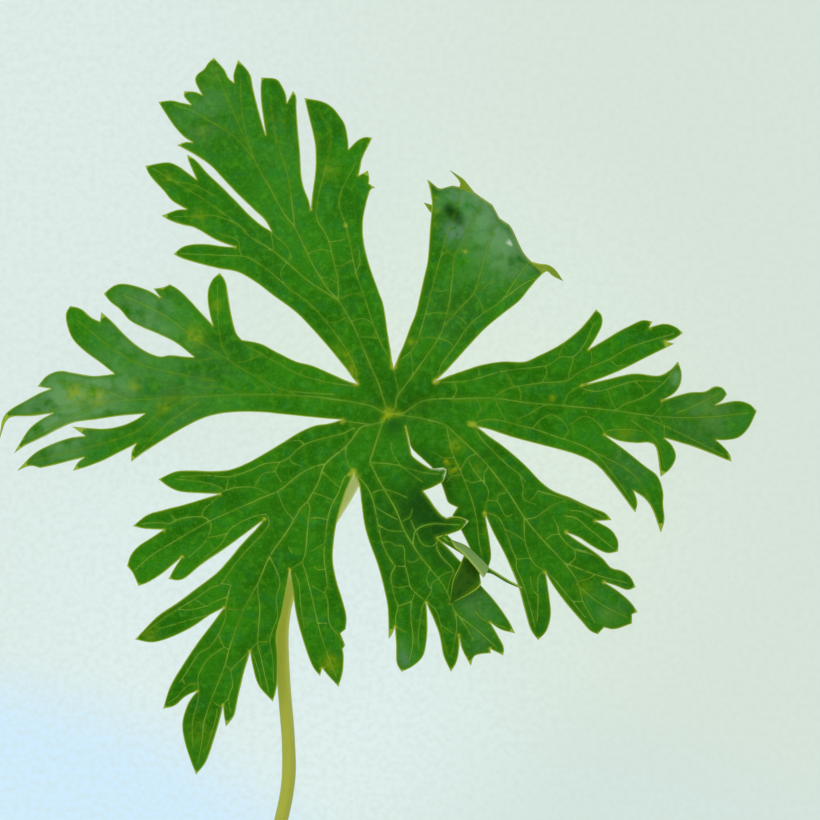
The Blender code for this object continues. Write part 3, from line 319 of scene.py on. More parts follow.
# Veins of each lobe, the midrib first
veinsOf = {
    "nw": [
        [(0, 0), (-0.8, 2.5), (-1.4, 4.3), (-2.4, 6.5), (-3.1, 8.2), (-4.2, 10.8), (-5.1, 12.7),
         (-6.9, 15.7), (-8.3, 17.2), (-9.4, 18.9), (-10.4, 20.5), (-11.3, 22.4), (-12.9, 25.7), (-14.6, 28),
         (-16.5, 31.5), (-18.7, 35.5), (-24, 47.5)],
        [(-6.9, 15.7), (-11.2, 18.5), (-13.8, 20.8), (-16.4, 22.9), (-19.2, 24.6), (-20.8, 26.2), (-26, 30),
         (-33, 34.3)],
        [(-4.3, 4.4), (-4.5, 6.1), (-5.4, 8.1), (-6.5, 9.9), (-8.6, 12.7), (-11, 15.3), (-13.8, 17.4),
         (-16.4, 19.7), (-18.9, 21.4), (-20.3, 21.9), (-24.6, 22.1), (-29, 22.3)],
        [(0.6, 7), (-0.8, 9.4), (-2, 12.2), (-3.3, 16.2), (-4.5, 19.7), (-5.2, 23.2), (-5.9, 26.2),
         (-6.8, 30), (-4.5, 35)],
        [(-6.9, 15.7), (-7, 18.7), (-7.5, 20.8), (-8.4, 24.4), (-9.9, 27.1), (-9.8, 30), (-8, 38),
         (-9.5, 42)],
        [(-13, 26), (-14, 33), (-15.8, 39), (-16.5, 44)], [(-18.7, 35.5), (-20.3, 41), (-20.7, 47)],
        [(-18.7, 35.5), (-21.5, 38.7), (-24.5, 40.6), (-27.2, 42.2), (-30, 43.2)],
    ],
    "w": [
        [(0, 0), (-0.9, 0.2), (-2.4, 1), (-6, 1.7), (-12, 2.4), (-20, 2.6), (-28, 2.2), (-36, 1.8),
         (-44, 1), (-53, -0.8)],
        [(-4.4, 3.8), (-8, 4.2), (-12.4, 5.4), (-15, 6.8), (-17.6, 8.2), (-20, 9.6)],
        [(-7.5, 2.6), (-14.4, 3.2), (-17.8, 4.8), (-20.4, 6.2), (-22.4, 7.8), (-23.4, 10.4), (-23.8, 14),
         (-23.8, 18)],
        [(-20.4, 6.2), (-27, 10.5), (-31, 13.5), (-37, 16.5)],
        [(-24, 4.4), (-34, 6.6), (-38.5, 9), (-43.5, 13)], [(-36, 1.8), (-42, 3.8), (-47, 4.4)],
        [(-28, 2.2), (-32, 0), (-36, -3), (-44, -5.3), (-50, -6.8)],
        [(-26.5, 1.5), (-31, -1.6), (-35, -5.6)], [(-40, 1.2), (-45, -0.8), (-50, -3.6)],
    ],
    "sw": [
        [(0, 0), (-0.8, -1.1), (-2.2, -1.6), (-3.8, -2), (-4.5, -2.9), (-5.8, -4.6), (-8.7, -7.1),
         (-9.7, -9.6), (-11.2, -12.3), (-12.2, -13.3), (-14, -16.4), (-16.5, -20), (-18.1, -23.6),
         (-20.4, -28), (-22.2, -33), (-22.8, -35.3), (-24.4, -39.3), (-25.7, -43), (-26, -45.5),
         (-26.6, -49)],
        [(-2.2, -1.6), (-3.9, -1.4), (-5.4, -1.2), (-6.3, -1)],
        [(-5, -2.2), (-6.4, -2.9), (-8.5, -3.4), (-11.7, -4.4), (-13.8, -6.2), (-15, -6.8), (-17.3, -7.1),
         (-19.5, -8.1), (-22.3, -8.9), (-25.3, -8.7), (-29, -8.9)],
        [(-8.7, -7.1), (-10.3, -7.5), (-12.4, -8.6), (-15, -10.7), (-17.5, -11.8), (-20.4, -13.1),
         (-24.9, -15.1), (-28.6, -17.2), (-32.9, -19.8), (-35.4, -22)],
        [(-24.9, -15.1), (-26, -14.5), (-28.8, -14.7), (-30.6, -15.5), (-31.8, -15.3), (-34.5, -15.5)],
        [(-16.8, -14.4), (-16.6, -15.4), (-17.5, -16.8), (-20.2, -19.7), (-21.8, -21.7), (-23.4, -23.9),
         (-24.7, -24.4), (-27, -26), (-30, -27.8), (-32.5, -29.5), (-34.3, -31)],
        [(-22.2, -24.8), (-22.7, -27.2), (-22.7, -28.6), (-23.7, -31), (-25, -32.8), (-26.2, -33.4),
         (-27, -34.4), (-28.4, -36.6), (-29.1, -37.6)],
        [(-11.2, -12.3), (-10.9, -13.3), (-11.1, -14.8), (-11.5, -19.3), (-11.9, -20.8), (-11.5, -22.2),
         (-10.8, -25), (-10.1, -28), (-9.5, -30.5), (-8.7, -33), (-7.2, -37)],
        [(-5, -8.6), (-6, -8.9), (-6.8, -10.9), (-8.2, -13.9), (-8.8, -18.1), (-8.9, -20.3), (-8.5, -23.8),
         (-8.8, -25.2), (-8.4, -26.3), (-8.2, -29.3), (-7, -31), (-6.5, -31.9)],
        [(-18.1, -23.6), (-18.2, -25.2), (-17.9, -27.2), (-18.2, -32), (-17.8, -34), (-17.1, -37.2),
         (-16.7, -39)],
        [(-19.4, -33.3), (-20.3, -34.3), (-21.9, -36), (-21.7, -38), (-22.3, -39.8), (-22, -42)],
    ],
    "s": [
        [(0, 0), (-0.8, -1.6), (-1.4, -3.2), (-2.1, -5.5), (-2.5, -6.8), (-2.1, -7.7), (-1.3, -9.3),
         (-0.5, -10.7), (1.1, -13.5), (2.4, -16.6), (4.6, -20.1), (7.1, -23.2), (8.2, -25), (9.2, -27.5),
         (9.6, -30), (8.9, -34)],
        [(-4.4, -8.7), (-3.2, -9.9), (-2.4, -11.3), (-1.9, -12.9), (-0.8, -18.1), (0.5, -20.7), (1, -21.4),
         (0.4, -22.8), (0.9, -25.6), (1.4, -27), (1.1, -28.3), (1.1, -29.7)],
        [(2.4, -21.3), (2.8, -22.8), (3.1, -24.2), (3.7, -25), (5.2, -26.2)],
        [(7, -17.8), (6.8, -18.7), (7.5, -20.1), (9.2, -22), (8.7, -23.2), (8.3, -25)],
        [(-2.4, -6.9), (0.9, -7.2), (4.4, -8.2), (7.2, -8.5)],
        [(3.5, -18.3), (3.9, -16.4), (6, -15.5), (10, -15.6)],
        [(3.3, -26.2), (3.2, -28.5), (3.5, -31.8), (3, -34.6)], [(9.2, -27.5), (10.8, -29.7), (12, -31.8)],
        [(10, -28.4), (13, -30.8), (15.2, -32.8)], [(12.2, -27.7), (13.4, -28.9), (16.4, -30)],
    ],
    "se": [
        [(0, 0), (2, -0.3), (4.8, -0.8), (6.6, -1.2), (8.1, -1.7), (9.4, -2.9), (12.4, -5.7), (14, -7.4),
         (16.8, -11.1), (19.2, -14.8), (21.8, -17.9), (24.6, -20.9), (26.5, -23.6), (27.3, -26.4),
         (29, -29.4)],
        [(8.1, -1.7), (8.7, -4.4), (9.2, -6.1), (10.6, -9.2), (11.8, -12.4), (12.4, -15), (12.8, -18.4),
         (13.4, -21)],
        [(13.6, -13.9), (15.3, -14.5), (16.3, -16.2), (17.3, -19), (17.9, -20.4), (18, -21.8),
         (18.8, -23.6), (19.8, -26.8), (20.6, -30)],
        [(19, -14.8), (19.2, -18.1), (20.3, -20.9), (21.8, -22)],
        [(21.8, -22), (21, -23.1), (21, -25.7), (20.9, -29)],
        [(12.2, -2.2), (13.4, -4), (16.3, -6.9), (18.4, -8.6), (19.2, -9.6)],
        [(20.9, -10.9), (23.2, -11.5), (26.3, -12.5), (30.4, -14.7)],
        [(24.8, -14.4), (26.3, -14.7), (28, -16.1), (29.4, -17.2), (31.6, -19)],
        [(23.7, -15.7), (24.1, -17.2), (26, -19), (29, -19.9), (31.2, -21.2)],
        [(24.6, -20.9), (29, -22.6), (33.5, -23.8)], [(26.4, -24), (29.6, -26.6), (33.4, -28.6)],
        [(22.2, -22.4), (23.1, -23.1), (25.1, -25.5), (27.6, -28.6)],
    ],
    "e": [
        [(0, 0), (1.9, -0.1), (3.2, 0.7), (4.7, 1.6), (6.9, 2), (10, 2), (14.5, 2.1), (19, 1.5),
         (22.3, 1.2), (28.2, 0.7), (31.9, 0.3), (38, -0.5), (44, -0.6), (50.5, 0)],
        [(14.8, 2.2), (15.9, 3), (17.5, 3.6), (21.3, 4.2), (24.8, 4.5), (27.1, 5.9), (30.9, 7.5),
         (34.4, 9.4), (40, 11.1)],
        [(6.6, 4.3), (10.4, 4.4), (12.7, 4.9), (16.3, 5.9), (22, 6.6), (24, 7.8), (25.9, 7.9), (27.5, 9.7),
         (28.8, 12.6)],
        [(31.9, 0.3), (33, 1.2), (35.7, 2.2), (38.3, 4), (40.4, 6.4)],
        [(11.9, -1.6), (13.2, -1), (15.5, -1), (18.2, -1.7), (20.3, -2.2), (23.2, -3.2), (28, -5), (31, -8),
         (34.2, -12.5)],
        [(28, -5), (34.5, -8.8), (37.8, -15)], [(34, -1), (36.6, -2.9), (37.8, -4.4), (38.7, -7.6)],
        [(36, -0.6), (40, -2.4), (47, -5.9)], [(40.3, 0), (42.4, 0.8), (46.4, 2.8)],
        [(26.9, 3.6), (28, 3.2), (29.8, 3.1), (33.4, 4.2), (35.2, 4.5), (38, 4.4)],
    ],
    "ne": [
        [(0, 0), (1, 0.6), (1.3, 2.3), (3, 4.6), (5.7, 8.4), (6.9, 10.2), (7.7, 11.9), (8.5, 15.2),
         (9, 18.9), (9.4, 22), (12, 27), (15, 33), (17, 38)],
        [(0.9, 7), (1.6, 7.4), (3.2, 8.6), (4.2, 10.3), (5.2, 13.7), (6.1, 17.2), (7.3, 21.7), (8.6, 26),
         (10, 30), (11, 34.5)],
        [(6.9, 4.8), (7.5, 6.8), (9.4, 9.4), (11.2, 12.1), (13.4, 14), (15.7, 15.6), (18, 18.8), (22.5, 25),
         (26, 30.5)],
        [(15.7, 15.6), (20, 18.6), (25, 19.6)],
        [(8, 12.4), (10, 14.6), (12, 16.8), (13, 20), (14.5, 25), (17.5, 30), (22.5, 35)],
    ],
}

# Finer veins between them: forks at the notches, loops and cross links
fineVeins = {
    "nw": [
        [(-20.3, 21.9), (-20.7, 22.6), (-20.9, 24), (-22.1, 24.6), (-24, 25.2)],
        [(-14.4, 18), (-15, 19.6), (-14.2, 20.9)],
        [(-18.9, 28), (-17.8, 26.9), (-16.5, 25.5), (-15.6, 24.6), (-14.2, 23.4), (-13.5, 21.7)],
        [(-16.4, 25.4), (-16, 23), (-16.6, 22.8)], [(-5.5, 13.5), (-7.4, 12.6), (-8.5, 12.8)],
        [(-6.2, 24.2), (-7.2, 24), (-8.3, 23.9)], [(-5, 21.4), (-6.4, 20.6), (-7.5, 20.6)],
        [(-11.2, 22.2), (-9.8, 22.8), (-8.1, 22.6)], [(-7.1, 18.2), (-8.4, 18.9), (-9.4, 18.9)],
        [(-4.6, 19.6), (-3.9, 21), (-4.2, 23.6)], [(-2.1, 12.4), (-3.4, 13.2), (-5.2, 12.8)],
        [(-3.4, 16.6), (-5, 16.6), (-6.9, 15.9)], [(-1.2, 10.4), (-2.6, 10.6), (-4.1, 10.6)],
        [(-24.4, 30.4), (-26.9, 31.8), (-30.8, 32.6)],
        [(-21, 26.4), (-24.2, 27.6), (-26.9, 27.5), (-30, 27.5)],
    ],
    "w": [
        [(-21, 2.6), (-23, 3.6), (-26, 3.6)], [(-16, 2.6), (-17.6, 4.6)], [(-12.4, 2.4), (-14.4, 3.2)],
        [(-24, 8), (-26, 7.4), (-29, 7.6)], [(-12.4, 5.4), (-11.6, 6.3)],
        [(-17.6, 8.2), (-19.4, 7.4), (-21, 7)],
    ],
    "sw": [
        [(-11.7, -4.4), (-12.4, -3.8), (-14.4, -4.1)], [(-13.8, -6.2), (-13.4, -6.9), (-12.1, -7.4)],
        [(-15, -6.8), (-15.6, -7.7), (-15.7, -8.3), (-15, -9.4)],
        [(-15.7, -8.2), (-17.3, -8.4), (-18.3, -9.6), (-18.6, -10.4)],
        [(-22.3, -8.9), (-22.4, -9.8), (-22.7, -10.8)],
        [(-23, -10.9), (-23.6, -10.3), (-26.1, -9.6), (-29.8, -9.2)],
        [(-22.9, -10.9), (-21.2, -10.4), (-18.7, -10.4), (-16.9, -11.2)],
        [(-23.4, -11.4), (-24.4, -12.3), (-25.7, -13.5), (-26, -14.5)], [(-29.8, -14.9), (-30.3, -14.2)],
        [(-24.9, -15.1), (-24.7, -15.8), (-25.2, -17.4), (-26.1, -18.6), (-27.9, -20.2)],
        [(-25.2, -17.4), (-22.8, -16.9), (-21.6, -15.7)],
        [(-17, -14.1), (-18.9, -14.5), (-21, -15.5), (-22.3, -16.6), (-23.4, -18.4), (-25.7, -20.2)],
        [(-23.4, -23.9), (-22, -24), (-22.2, -24.8)],
        [(-22.7, -25.8), (-24.6, -26.5), (-25.3, -27), (-27, -26)],
        [(-25.3, -27), (-27.6, -27.5), (-29.3, -27.5)],
        [(-22.9, -27.3), (-24.4, -28), (-28, -29), (-32, -30.2)],
        [(-22.7, -27.4), (-21, -27.5), (-20.2, -27.4)], [(-11.9, -20.8), (-12.8, -21.3), (-13.6, -21.9)],
        [(-13, -22.4), (-12.4, -24), (-12.2, -26.8), (-11.7, -30)],
        [(-8.8, -18.1), (-9.7, -18.7), (-10.7, -19.3)], [(-8.9, -21.8), (-9.8, -21.9), (-10.3, -21.4)],
        [(-10.5, -24.2), (-9.5, -24.8), (-8.8, -25.2)], [(-9.9, -29.3), (-8.6, -29.4)],
        [(-16.5, -20), (-15.1, -23.4), (-15.6, -25.8), (-15.4, -28.4), (-16, -30), (-16.5, -31.9),
         (-16.1, -34.5), (-16, -37.6)],
        [(-16.5, -31.9), (-18.2, -32)], [(-18.2, -32), (-19.2, -33.1)],
        [(-19.2, -33.4), (-18.6, -34.4), (-17.9, -37), (-17.8, -38)], [(-13.9, -18.7), (-13.4, -19.5)],
        [(-23.7, -31), (-22.9, -32.7), (-22.2, -33)],
        [(-22.9, -32.7), (-25, -34.2), (-26.2, -36), (-26.6, -37.2), (-26.5, -38.8)],
        [(-26.6, -37.9), (-28, -38.1), (-29.5, -39.7), (-30.8, -40.6)], [(-28.8, -37.2), (-28.4, -38)],
        [(-26.5, -39), (-26.6, -40.3), (-27.4, -43.4), (-27.3, -46.8)], [(-21.9, -36), (-22.8, -35.3)],
        [(-22.3, -39.8), (-23.1, -40.8)], [(-23.3, -41.1), (-24, -40.8), (-24.7, -40.1)],
        [(-23.9, -41.5), (-24.1, -42.8), (-25.4, -47)], [(-5.7, -4.5), (-5.9, -5.8), (-5.4, -7.6)],
        [(-9.1, -8.2), (-7.9, -9.4), (-6.7, -10.4)], [(-10.5, -11.1), (-9, -11.6), (-7.5, -12.2)],
        [(-11.1, -14.8), (-9.8, -14.6), (-8.4, -14.9)], [(-13.2, -14.8), (-14.4, -13.4), (-15.4, -11)],
    ],
    "s": [
        [(-0.8, -18.1), (0.3, -18), (1.1, -18.5), (2.2, -18.7), (2.4, -21.3)], [(1, -21.4), (2.4, -21.4)],
        [(0.6, -24.2), (1.6, -24.4), (3, -24.1)], [(1.4, -27), (3.3, -26.2), (3.7, -25)],
        [(5.2, -26.3), (4.7, -27.5), (4.2, -31.6), (4.4, -33)], [(1.2, -29.9), (2.4, -30.6)],
        [(-0.4, -10.6), (1.1, -11.1), (2.6, -11.8)], [(-1.8, -13.1), (-0.5, -13.9), (1.2, -14.8)],
        [(3.2, -15), (4, -16.8), (4.8, -18.3), (6.1, -18.6), (6.8, -18)],
        [(5.2, -26.2), (6, -25), (6.2, -23.7), (7.1, -23.2)],
        [(5.5, -26.4), (6.5, -27.3), (7.1, -28.5), (7.7, -31.4), (8.4, -34)],
        [(7.4, -29.6), (8.7, -30.5), (9.8, -31.1)], [(1.8, -15.1), (3, -14.6), (3.4, -13.4)],
        [(0.5, -4.2), (0.6, -5.4), (1.9, -7.4), (4.8, -9.6)], [(-2.4, -11.3), (-1.4, -10.8), (-0.5, -10.7)],
        [(4.6, -20.1), (3.6, -20.8), (2.4, -20.6)], [(5.9, -21.6), (5.4, -23.2), (5.8, -24.4)],
        [(-1.4, -15.6), (0.2, -16.4), (2.3, -16.5)], [(7, -23), (8, -22.4), (9.1, -22.1)],
    ],
    "se": [
        [(10.6, -9.2), (11.8, -9.7), (13.1, -9.4)],
        [(11.4, -7), (12.2, -8.3), (13.1, -9.4), (13.9, -10.5), (14, -11.6), (13.5, -13.6)],
        [(13.9, -12.2), (15.3, -12.4), (16.4, -14.4), (17.3, -14.2)],
        [(16.3, -16.2), (17.9, -17), (19, -17.8)], [(17.9, -20.4), (19.8, -20.3)],
        [(20.9, -10.9), (20.3, -11.9), (19.6, -12.4)],
        [(18.4, -8.6), (18.9, -10.4), (18.9, -12), (20.7, -12.8)],
        [(25.5, -13.6), (27.1, -13.8), (28.6, -14.6)], [(23, -14.4), (23.7, -15.7)],
        [(26, -19), (26.2, -20.2), (25.2, -21.2)], [(26.2, -19), (27.7, -19.3)],
        [(21.8, -17.9), (23, -17), (24, -17)],
        [(19.2, -14.8), (20.6, -14.6), (22, -13.6), (23.2, -12.8), (24.8, -12.3)],
        [(26.5, -23.6), (28, -23.2), (29, -22.6)], [(27.3, -26.4), (26, -26.3), (25.2, -25.6)],
        [(19.9, -22.9), (20.2, -24.6), (21, -25.6)], [(16.8, -11.1), (15.4, -11.4), (15.3, -12.4)],
        [(9.3, -6.2), (7.6, -6.2), (6.4, -5.4)], [(10.3, -8.6), (9, -8.8), (8.2, -9.6)],
        [(12.4, -5.7), (11.2, -6.2), (10.2, -7.8)], [(14, -7.5), (13.4, -8.6), (13.5, -9.6)],
    ],
    "e": [
        [(25.2, 5), (25.5, 6.2), (25.9, 7.8)], [(24, 7.8), (24, 8.4), (24.8, 9.8), (26, 11)],
        [(12.7, 4.9), (12.7, 6.2)], [(22, 6.6), (22.2, 5.6), (21.6, 4.4)],
        [(26.7, 3.7), (25.2, 2.7), (24.6, 1.2)], [(18, -0.8), (19.4, -0.3), (20.9, 0.6), (22.3, 1.2)],
        [(15.8, -2.2), (17.1, -2.8)], [(23.2, -0.3), (24.4, -1.1), (25.2, -2.6), (24.4, -3.7)],
        [(30.3, -3), (30, -2.2), (29.2, -1.3), (28.2, -0.6), (27.1, -0.5), (25.6, -1.5)],
        [(30.4, -2.9), (31, -2.4), (33.6, -2.3), (35.6, -2.6)], [(27.6, 0.7), (27.8, -0.5)],
        [(12.4, 1.9), (13, 0.6), (12.4, -0.4)], [(15, 2), (15.4, 0.8), (16.4, -0.9)],
        [(18.2, 3.6), (18.6, 2.6), (18.3, 1.6)], [(30.7, 3.2), (31.2, 1.8), (31.9, 0.5)],
        [(34.6, 4.3), (35.6, 3.4), (35.8, 2.4)], [(9, 2.1), (9.6, 3.2), (9.2, 4.2)],
        [(16.3, 5.8), (17, 4.8), (17.6, 3.7)], [(20.2, -2.2), (21.2, -1), (22.6, -0.2), (23.2, -0.3)],
        [(38, -0.6), (38.6, -2), (38.6, -3.2)], [(27.2, 5.9), (28.4, 6.8), (28.4, 8.6)],
        [(31, 7.5), (32, 6.6), (33.4, 6.8)], [(38.4, 1.6), (38, 0.6), (36.8, -0.4)],
    ],
    "ne": [
        [(7.3, 21.7), (8.3, 22.6), (9.2, 21.9)], [(10.8, 22.5), (11.1, 23.8), (11.1, 24.8)],
        [(13.2, 17.2), (14.1, 18.1), (15, 18.4)], [(0.9, 6.3), (1.1, 4.6), (1.5, 2.9)],
        [(4.2, 10.3), (5.6, 10.6), (6.9, 10.4)], [(5.2, 13.7), (6.6, 14), (8.2, 13.9)],
        [(6.1, 17.2), (7.6, 17), (8.8, 17.3)], [(9.2, 9.2), (8.4, 10), (7.2, 10.4)],
        [(11.2, 12.1), (10.2, 13.2), (9.2, 13.6)], [(13.4, 14), (12.8, 15.6), (12, 16.7)],
        [(3.4, 5.1), (3.4, 7), (3.2, 8.5)],
    ],
}

# Each lobe: margin, sinus before and after, reach of its tips, how far they hang below the middle
lobes = {
    "nw": dict(margin=northWest, sinuses=("ne_nw", "nw_w"), reach=55.5, drop=14.15),
    "w": dict(margin=west, sinuses=("nw_w", "w_sw"), reach=54.6, drop=14.15),
    "sw": dict(margin=southWest, sinuses=("w_sw", "sw_s"), reach=57.4, drop=14.15),
    "s": dict(margin=south, sinuses=("sw_s", "s_se"), reach=37.3, drop=7.2),
    "se": dict(margin=southEast, sinuses=("s_se", "se_e"), reach=45.2, drop=14.15),
    "e": dict(margin=east, sinuses=("se_e", "e_ne"), reach=51.7, drop=14.15),
    "ne": dict(margin=northEast, sinuses=("e_ne", "ne_nw"), reach=45.0, drop=2.0),
}

# The twisted side segment of the south lobe, as rows across it from the inner margin over the crease to
# the outer margin. It folds over along the crease, so that its outer half shows the blade's underside.
# Heights are above the surface.
twistRows = [
    [(7.8, -18.15, 13.3), (8.35, -17.85, 13.6), (8.75, -17.65, 14.4)],
    [(9.2, -19.0, 13.1), (9.8, -18.3, 13.8), (9.3, -18.7, 15.3)],
    [(10.6, -19.9, 13.0), (11.0, -18.9, 13.7), (10.4, -19.6, 15.5)],
    [(11.8, -20.9, 12.9), (12.3, -20.1, 13.6), (11.6, -20.9, 15.4)],
    [(12.8, -22.5, 12.8), (13.9, -21.7, 13.5), (13.3, -23.0, 14.8)],
]

# Its end tooth, seen on edge, and the tooth on its inner margin that hangs back over the south lobe
twistTooth = [[(14.3, -22.4, 12.3), (14.5, -22.0, 13.6)], [(16.6, -23.7, 11.9), (16.7, -23.4, 13.1)]]
twistToothTip = (19.0, -24.7, 11.8)
twistFlap = [[(9.8, -21.7, 13.2), (10.9, -22.6, 13.5), (12.9, -24.1, 13.1)],
              [(9.0, -23.6, 13.1), (9.9, -24.4, 13.4), (11.3, -25.3, 13.0)]]
twistFlapTip = (8.7, -26.6, 12.6)


def smoothCurve(points, step):
    # Catmull-Rom through the points, read off about one step apart along its length
    points = np.array(points, float)
    if len(points) > 2:
        points = throughRows(points, curveSpans)
    along = np.concatenate([[0], np.cumsum(np.linalg.norm(np.diff(points, axis=0), axis=1))])
    stops = np.linspace(0, along[-1], max(1, round(along[-1] / step)) + 1)
    return np.column_stack([np.interp(stops, along, points[:, k]) for k in range(points.shape[1])])


def throughRows(rows, spans):
    # Catmull-Rom from each row to the next, with a number of spans between them
    rows = np.array(rows, float)
    guide = np.concatenate([[2 * rows[0] - rows[1]], rows, [2 * rows[-1] - rows[-2]]])
    a, b, c, d = (guide[k:k + len(rows) - 1, None] for k in range(4))
    t = np.linspace(0, 1, spans, endpoint=False).reshape(1, -1, *[1] * (rows.ndim - 1))
    curve = 0.5 * (2 * b + (c - a) * t + (2 * a - 5 * b + 4 * c - d) * t**2 + (3 * b - a - 3 * c + d) * t**3)
    return np.concatenate([curve.reshape(-1, *rows.shape[1:]), rows[-1:]])


def ease(value):
    # Rises smoothly from 0 to 1 as the value does: three times its square less twice its cube
    value = np.clip(value, 0, 1)
    return value * value * (3 - 2 * value)


def bell(distance, width):
    # Falls from 1 to either side as a bell curve: e to the power of minus the square of distance over width
    return np.exp(-(distance / width) ** 2)


def squares(points, others):
    # Square of the distance of every point from each of the others
    return ((points[:, None] - others[None]) ** 2).sum(2)


def gaps(points, start, run):
    # Distance of every point from every stretch start + share * run, and the way from the stretch to it
    offset = points[:, None] - start[None]
    share = np.clip((offset * run).sum(2) / np.maximum((run**2).sum(1), 1e-12), 0, 1)
    way = offset - share[..., None] * run
    return np.sqrt((way**2).sum(2)), way


def inParts(points, work):
    # Works on some hundred points at a time, which keeps the tables of distances small
    parts = [work(part) for part in np.array_split(points, len(points) // partSize + 1)]
    return [np.concatenate(column) for column in zip(*parts)]


def toNearest(points, start, run):
    # Distance of every point from the nearest stretch
    return inParts(points, lambda part: [gaps(part, start, run)[0].min(1)])[0]


def distanceToLine(points, line):
    # Distance from a line through several points, and on which side of it each point lies
    line = np.array(line, float)
    start, run = line[:-1], np.diff(line, axis=0)

    def work(part):
        gap, way = gaps(part, start, run)
        row, best = np.arange(len(part)), gap.argmin(1)
        way, along = way[row, best], run[best]
        return gap[row, best], np.sign(along[:, 0] * way[:, 1] - along[:, 1] * way[:, 0])
    return inParts(points, work)


def inside(points, outline):
    # A point is inside where a line from it to the right crosses the outline an odd number of times
    ax, ay = outline[:, 0], outline[:, 1]
    bx, by = np.roll(ax, -1), np.roll(ay, -1)

    def work(part):
        x, y = part[:, :1], part[:, 1:]
        crosses = (ay > y) != (by > y)
        reach = ax + (y - ay) * (bx - ax) / np.where(by == ay, 1, by - ay)
        return [(crosses & (x < reach)).sum(1) % 2 == 1]
    return inParts(points, work)[0]


def seam(name):
    # The line from the middle of the blade to a sinus, where two lobes are joined
    return smoothCurve([(0, 0), sinusAt[name]], blade["seamStep"])


def lobeMargin(lobe):
    # The margin from sinus to sinus, and which of its points are notches between two teeth
    first, last = lobe["sinuses"]
    parts, corner, ends = [], sinusAt[first], []
    for stroke in lobe["margin"] + [[sinusAt[last]]]:
        stroke = [corner] + stroke
        parts.append(smoothCurve(stroke, blade["marginStep"])[:-1])
        corner = stroke[-1]
        ends.append(sum(len(part) for part in parts))
    margin = np.vstack(parts + [[corner]])
    ends = np.array(ends[:-1])
    before, after = margin[ends] - margin[ends - 1], margin[ends + 1] - margin[ends]
    turn = before[:, 0] * after[:, 1] - before[:, 1] * after[:, 0]
    lengths = np.linalg.norm(before, axis=1) * np.linalg.norm(after, axis=1)
    sharp = (before * after).sum(1) < -blade["notchTurn"] * lengths
    return margin, margin[ends[(turn < 0) & sharp]]


def bladeHeight(name, points):
    # A shallow funnel at the middle, and lobes that bend down by a power of the distance from it
    lobe = lobes[name]
    radius = np.linalg.norm(points, axis=1)
    offSeam = np.minimum(*(distanceToLine(points, seam(s))[0] for s in lobe["sinuses"]))
    offMidrib, side = distanceToLine(points, veinsOf[name][0])
    bend = lobe["drop"] * (radius / lobe["reach"]) ** blade["dropPower"]
    bend += blade["sideDroop"] * (offMidrib / blade["sideReach"]) ** 2 * (1 - radius / lobe["reach"])
    if name == "s":
        (lift, width), (end, fade) = blade["southLift"], blade["southLiftEnd"]
        lift *= ease((offMidrib - blade["halfStart"]) / width) * (side > 0)
        bend -= lift * ease((end - radius) / fade)
    if name == "se":
        dip, width = blade["southEastDip"]
        bend += dip * ease((offMidrib - blade["halfStart"]) / width) * (side < 0)
    if name == "ne":
        across, along = np.array([blade["rollAxis"], blade["rollNormal"]]) @ (points - blade["dentAt"]).T
        long, wide = blade["dentSize"]
        bend += blade["dentDepth"] * bell(across, long) * bell(along, wide)
    funnel = blade["funnelRise"] * (1 - bell(radius, blade["funnelRadius"]))
    return blade["centreHeight"] - blade["settle"] + funnel - bend * ease(offSeam / blade["seamFlat"])


def rollUnder(points, height):
    # The outer part of the north-east lobe, wound down about a line across it with a shrinking radius, and
    # the angle by which each point has turned
    across, out = points @ blade["rollAxis"], points @ blade["rollNormal"]
    start = np.interp(across, *np.transpose(blade["rollEdge"])) - blade["rollReach"]
    turn = np.maximum(out - start, 0) / blade["rollRadius"]
    radius = blade["rollRadius"] * (1 - blade["rollTightening"] * turn)
    out = np.minimum(out, start) + radius * np.sin(turn)
    flat = np.outer(across, blade["rollAxis"]) + np.outer(out, blade["rollNormal"])
    return np.column_stack([flat, height - radius * (1 - np.cos(turn))]), turn


def veinStretches(veins, fine=()):
    # Short straight stretches of some veins, the midrib first, each with its line's half width and groove
    kinds = ["midrib"] + ["vein"] * (len(veins) - 1) + ["fine"] * len(fine)
    start, run, half, groove = [], [], [], []
    for kind, vein in zip(kinds, [*veins, *fine]):
        line = smoothCurve(vein, blade["veinStep"])
        thick, thin = blade[kind + "Half"]
        share = np.linspace(0, 1, len(line) - 1)
        start.append(line[:-1])
        run.append(np.diff(line, axis=0))
        half.append(thick + (thin - thick) * share)
        groove.append(blade[kind + "Groove"] * (1 - blade["grooveFade"] * share))
    return [np.concatenate(part) for part in (start, run, half, groove)]


def palmStretches():
    # The first run of every midrib, which all lobes share so that their seams don't show
    ribs = [veinStretches(veins[:1]) for veins in veinsOf.values()]
    start, run, half, groove = (np.concatenate(part) for part in zip(*ribs))
    radius = np.linalg.norm(start, axis=1)
    near = radius < blade["palm"]
    fade = ease((blade["palm"] - radius[near]) / blade["palmFade"])
    return start[near], run[near], half[near], groove[near] * fade


def unit(vectors):
    # Each vector over its own length
    return vectors / np.linalg.norm(vectors, axis=1)[:, None]


def leftOf(run):
    # Unit vectors that point to the left of each stretch
    return unit(np.column_stack([-run[:, 1], run[:, 0]]))


def sidesOf(faces):
    # The triangles' sides from corner to corner: every first side, then every second and every third
    return np.vstack([faces[:, [0, 1]], faces[:, [1, 2]], faces[:, [2, 0]]])


def triangulate(points, edges=(), kind=0):
    # Delaunay triangles of the points: of all of them, or with kind 1 of what the edges enclose
    flat, _, faces, *_ = delaunay_2d_cdt([tuple(p) for p in points], edges, [], kind, snap)
    return np.array([tuple(p) for p in flat]), np.array(faces)


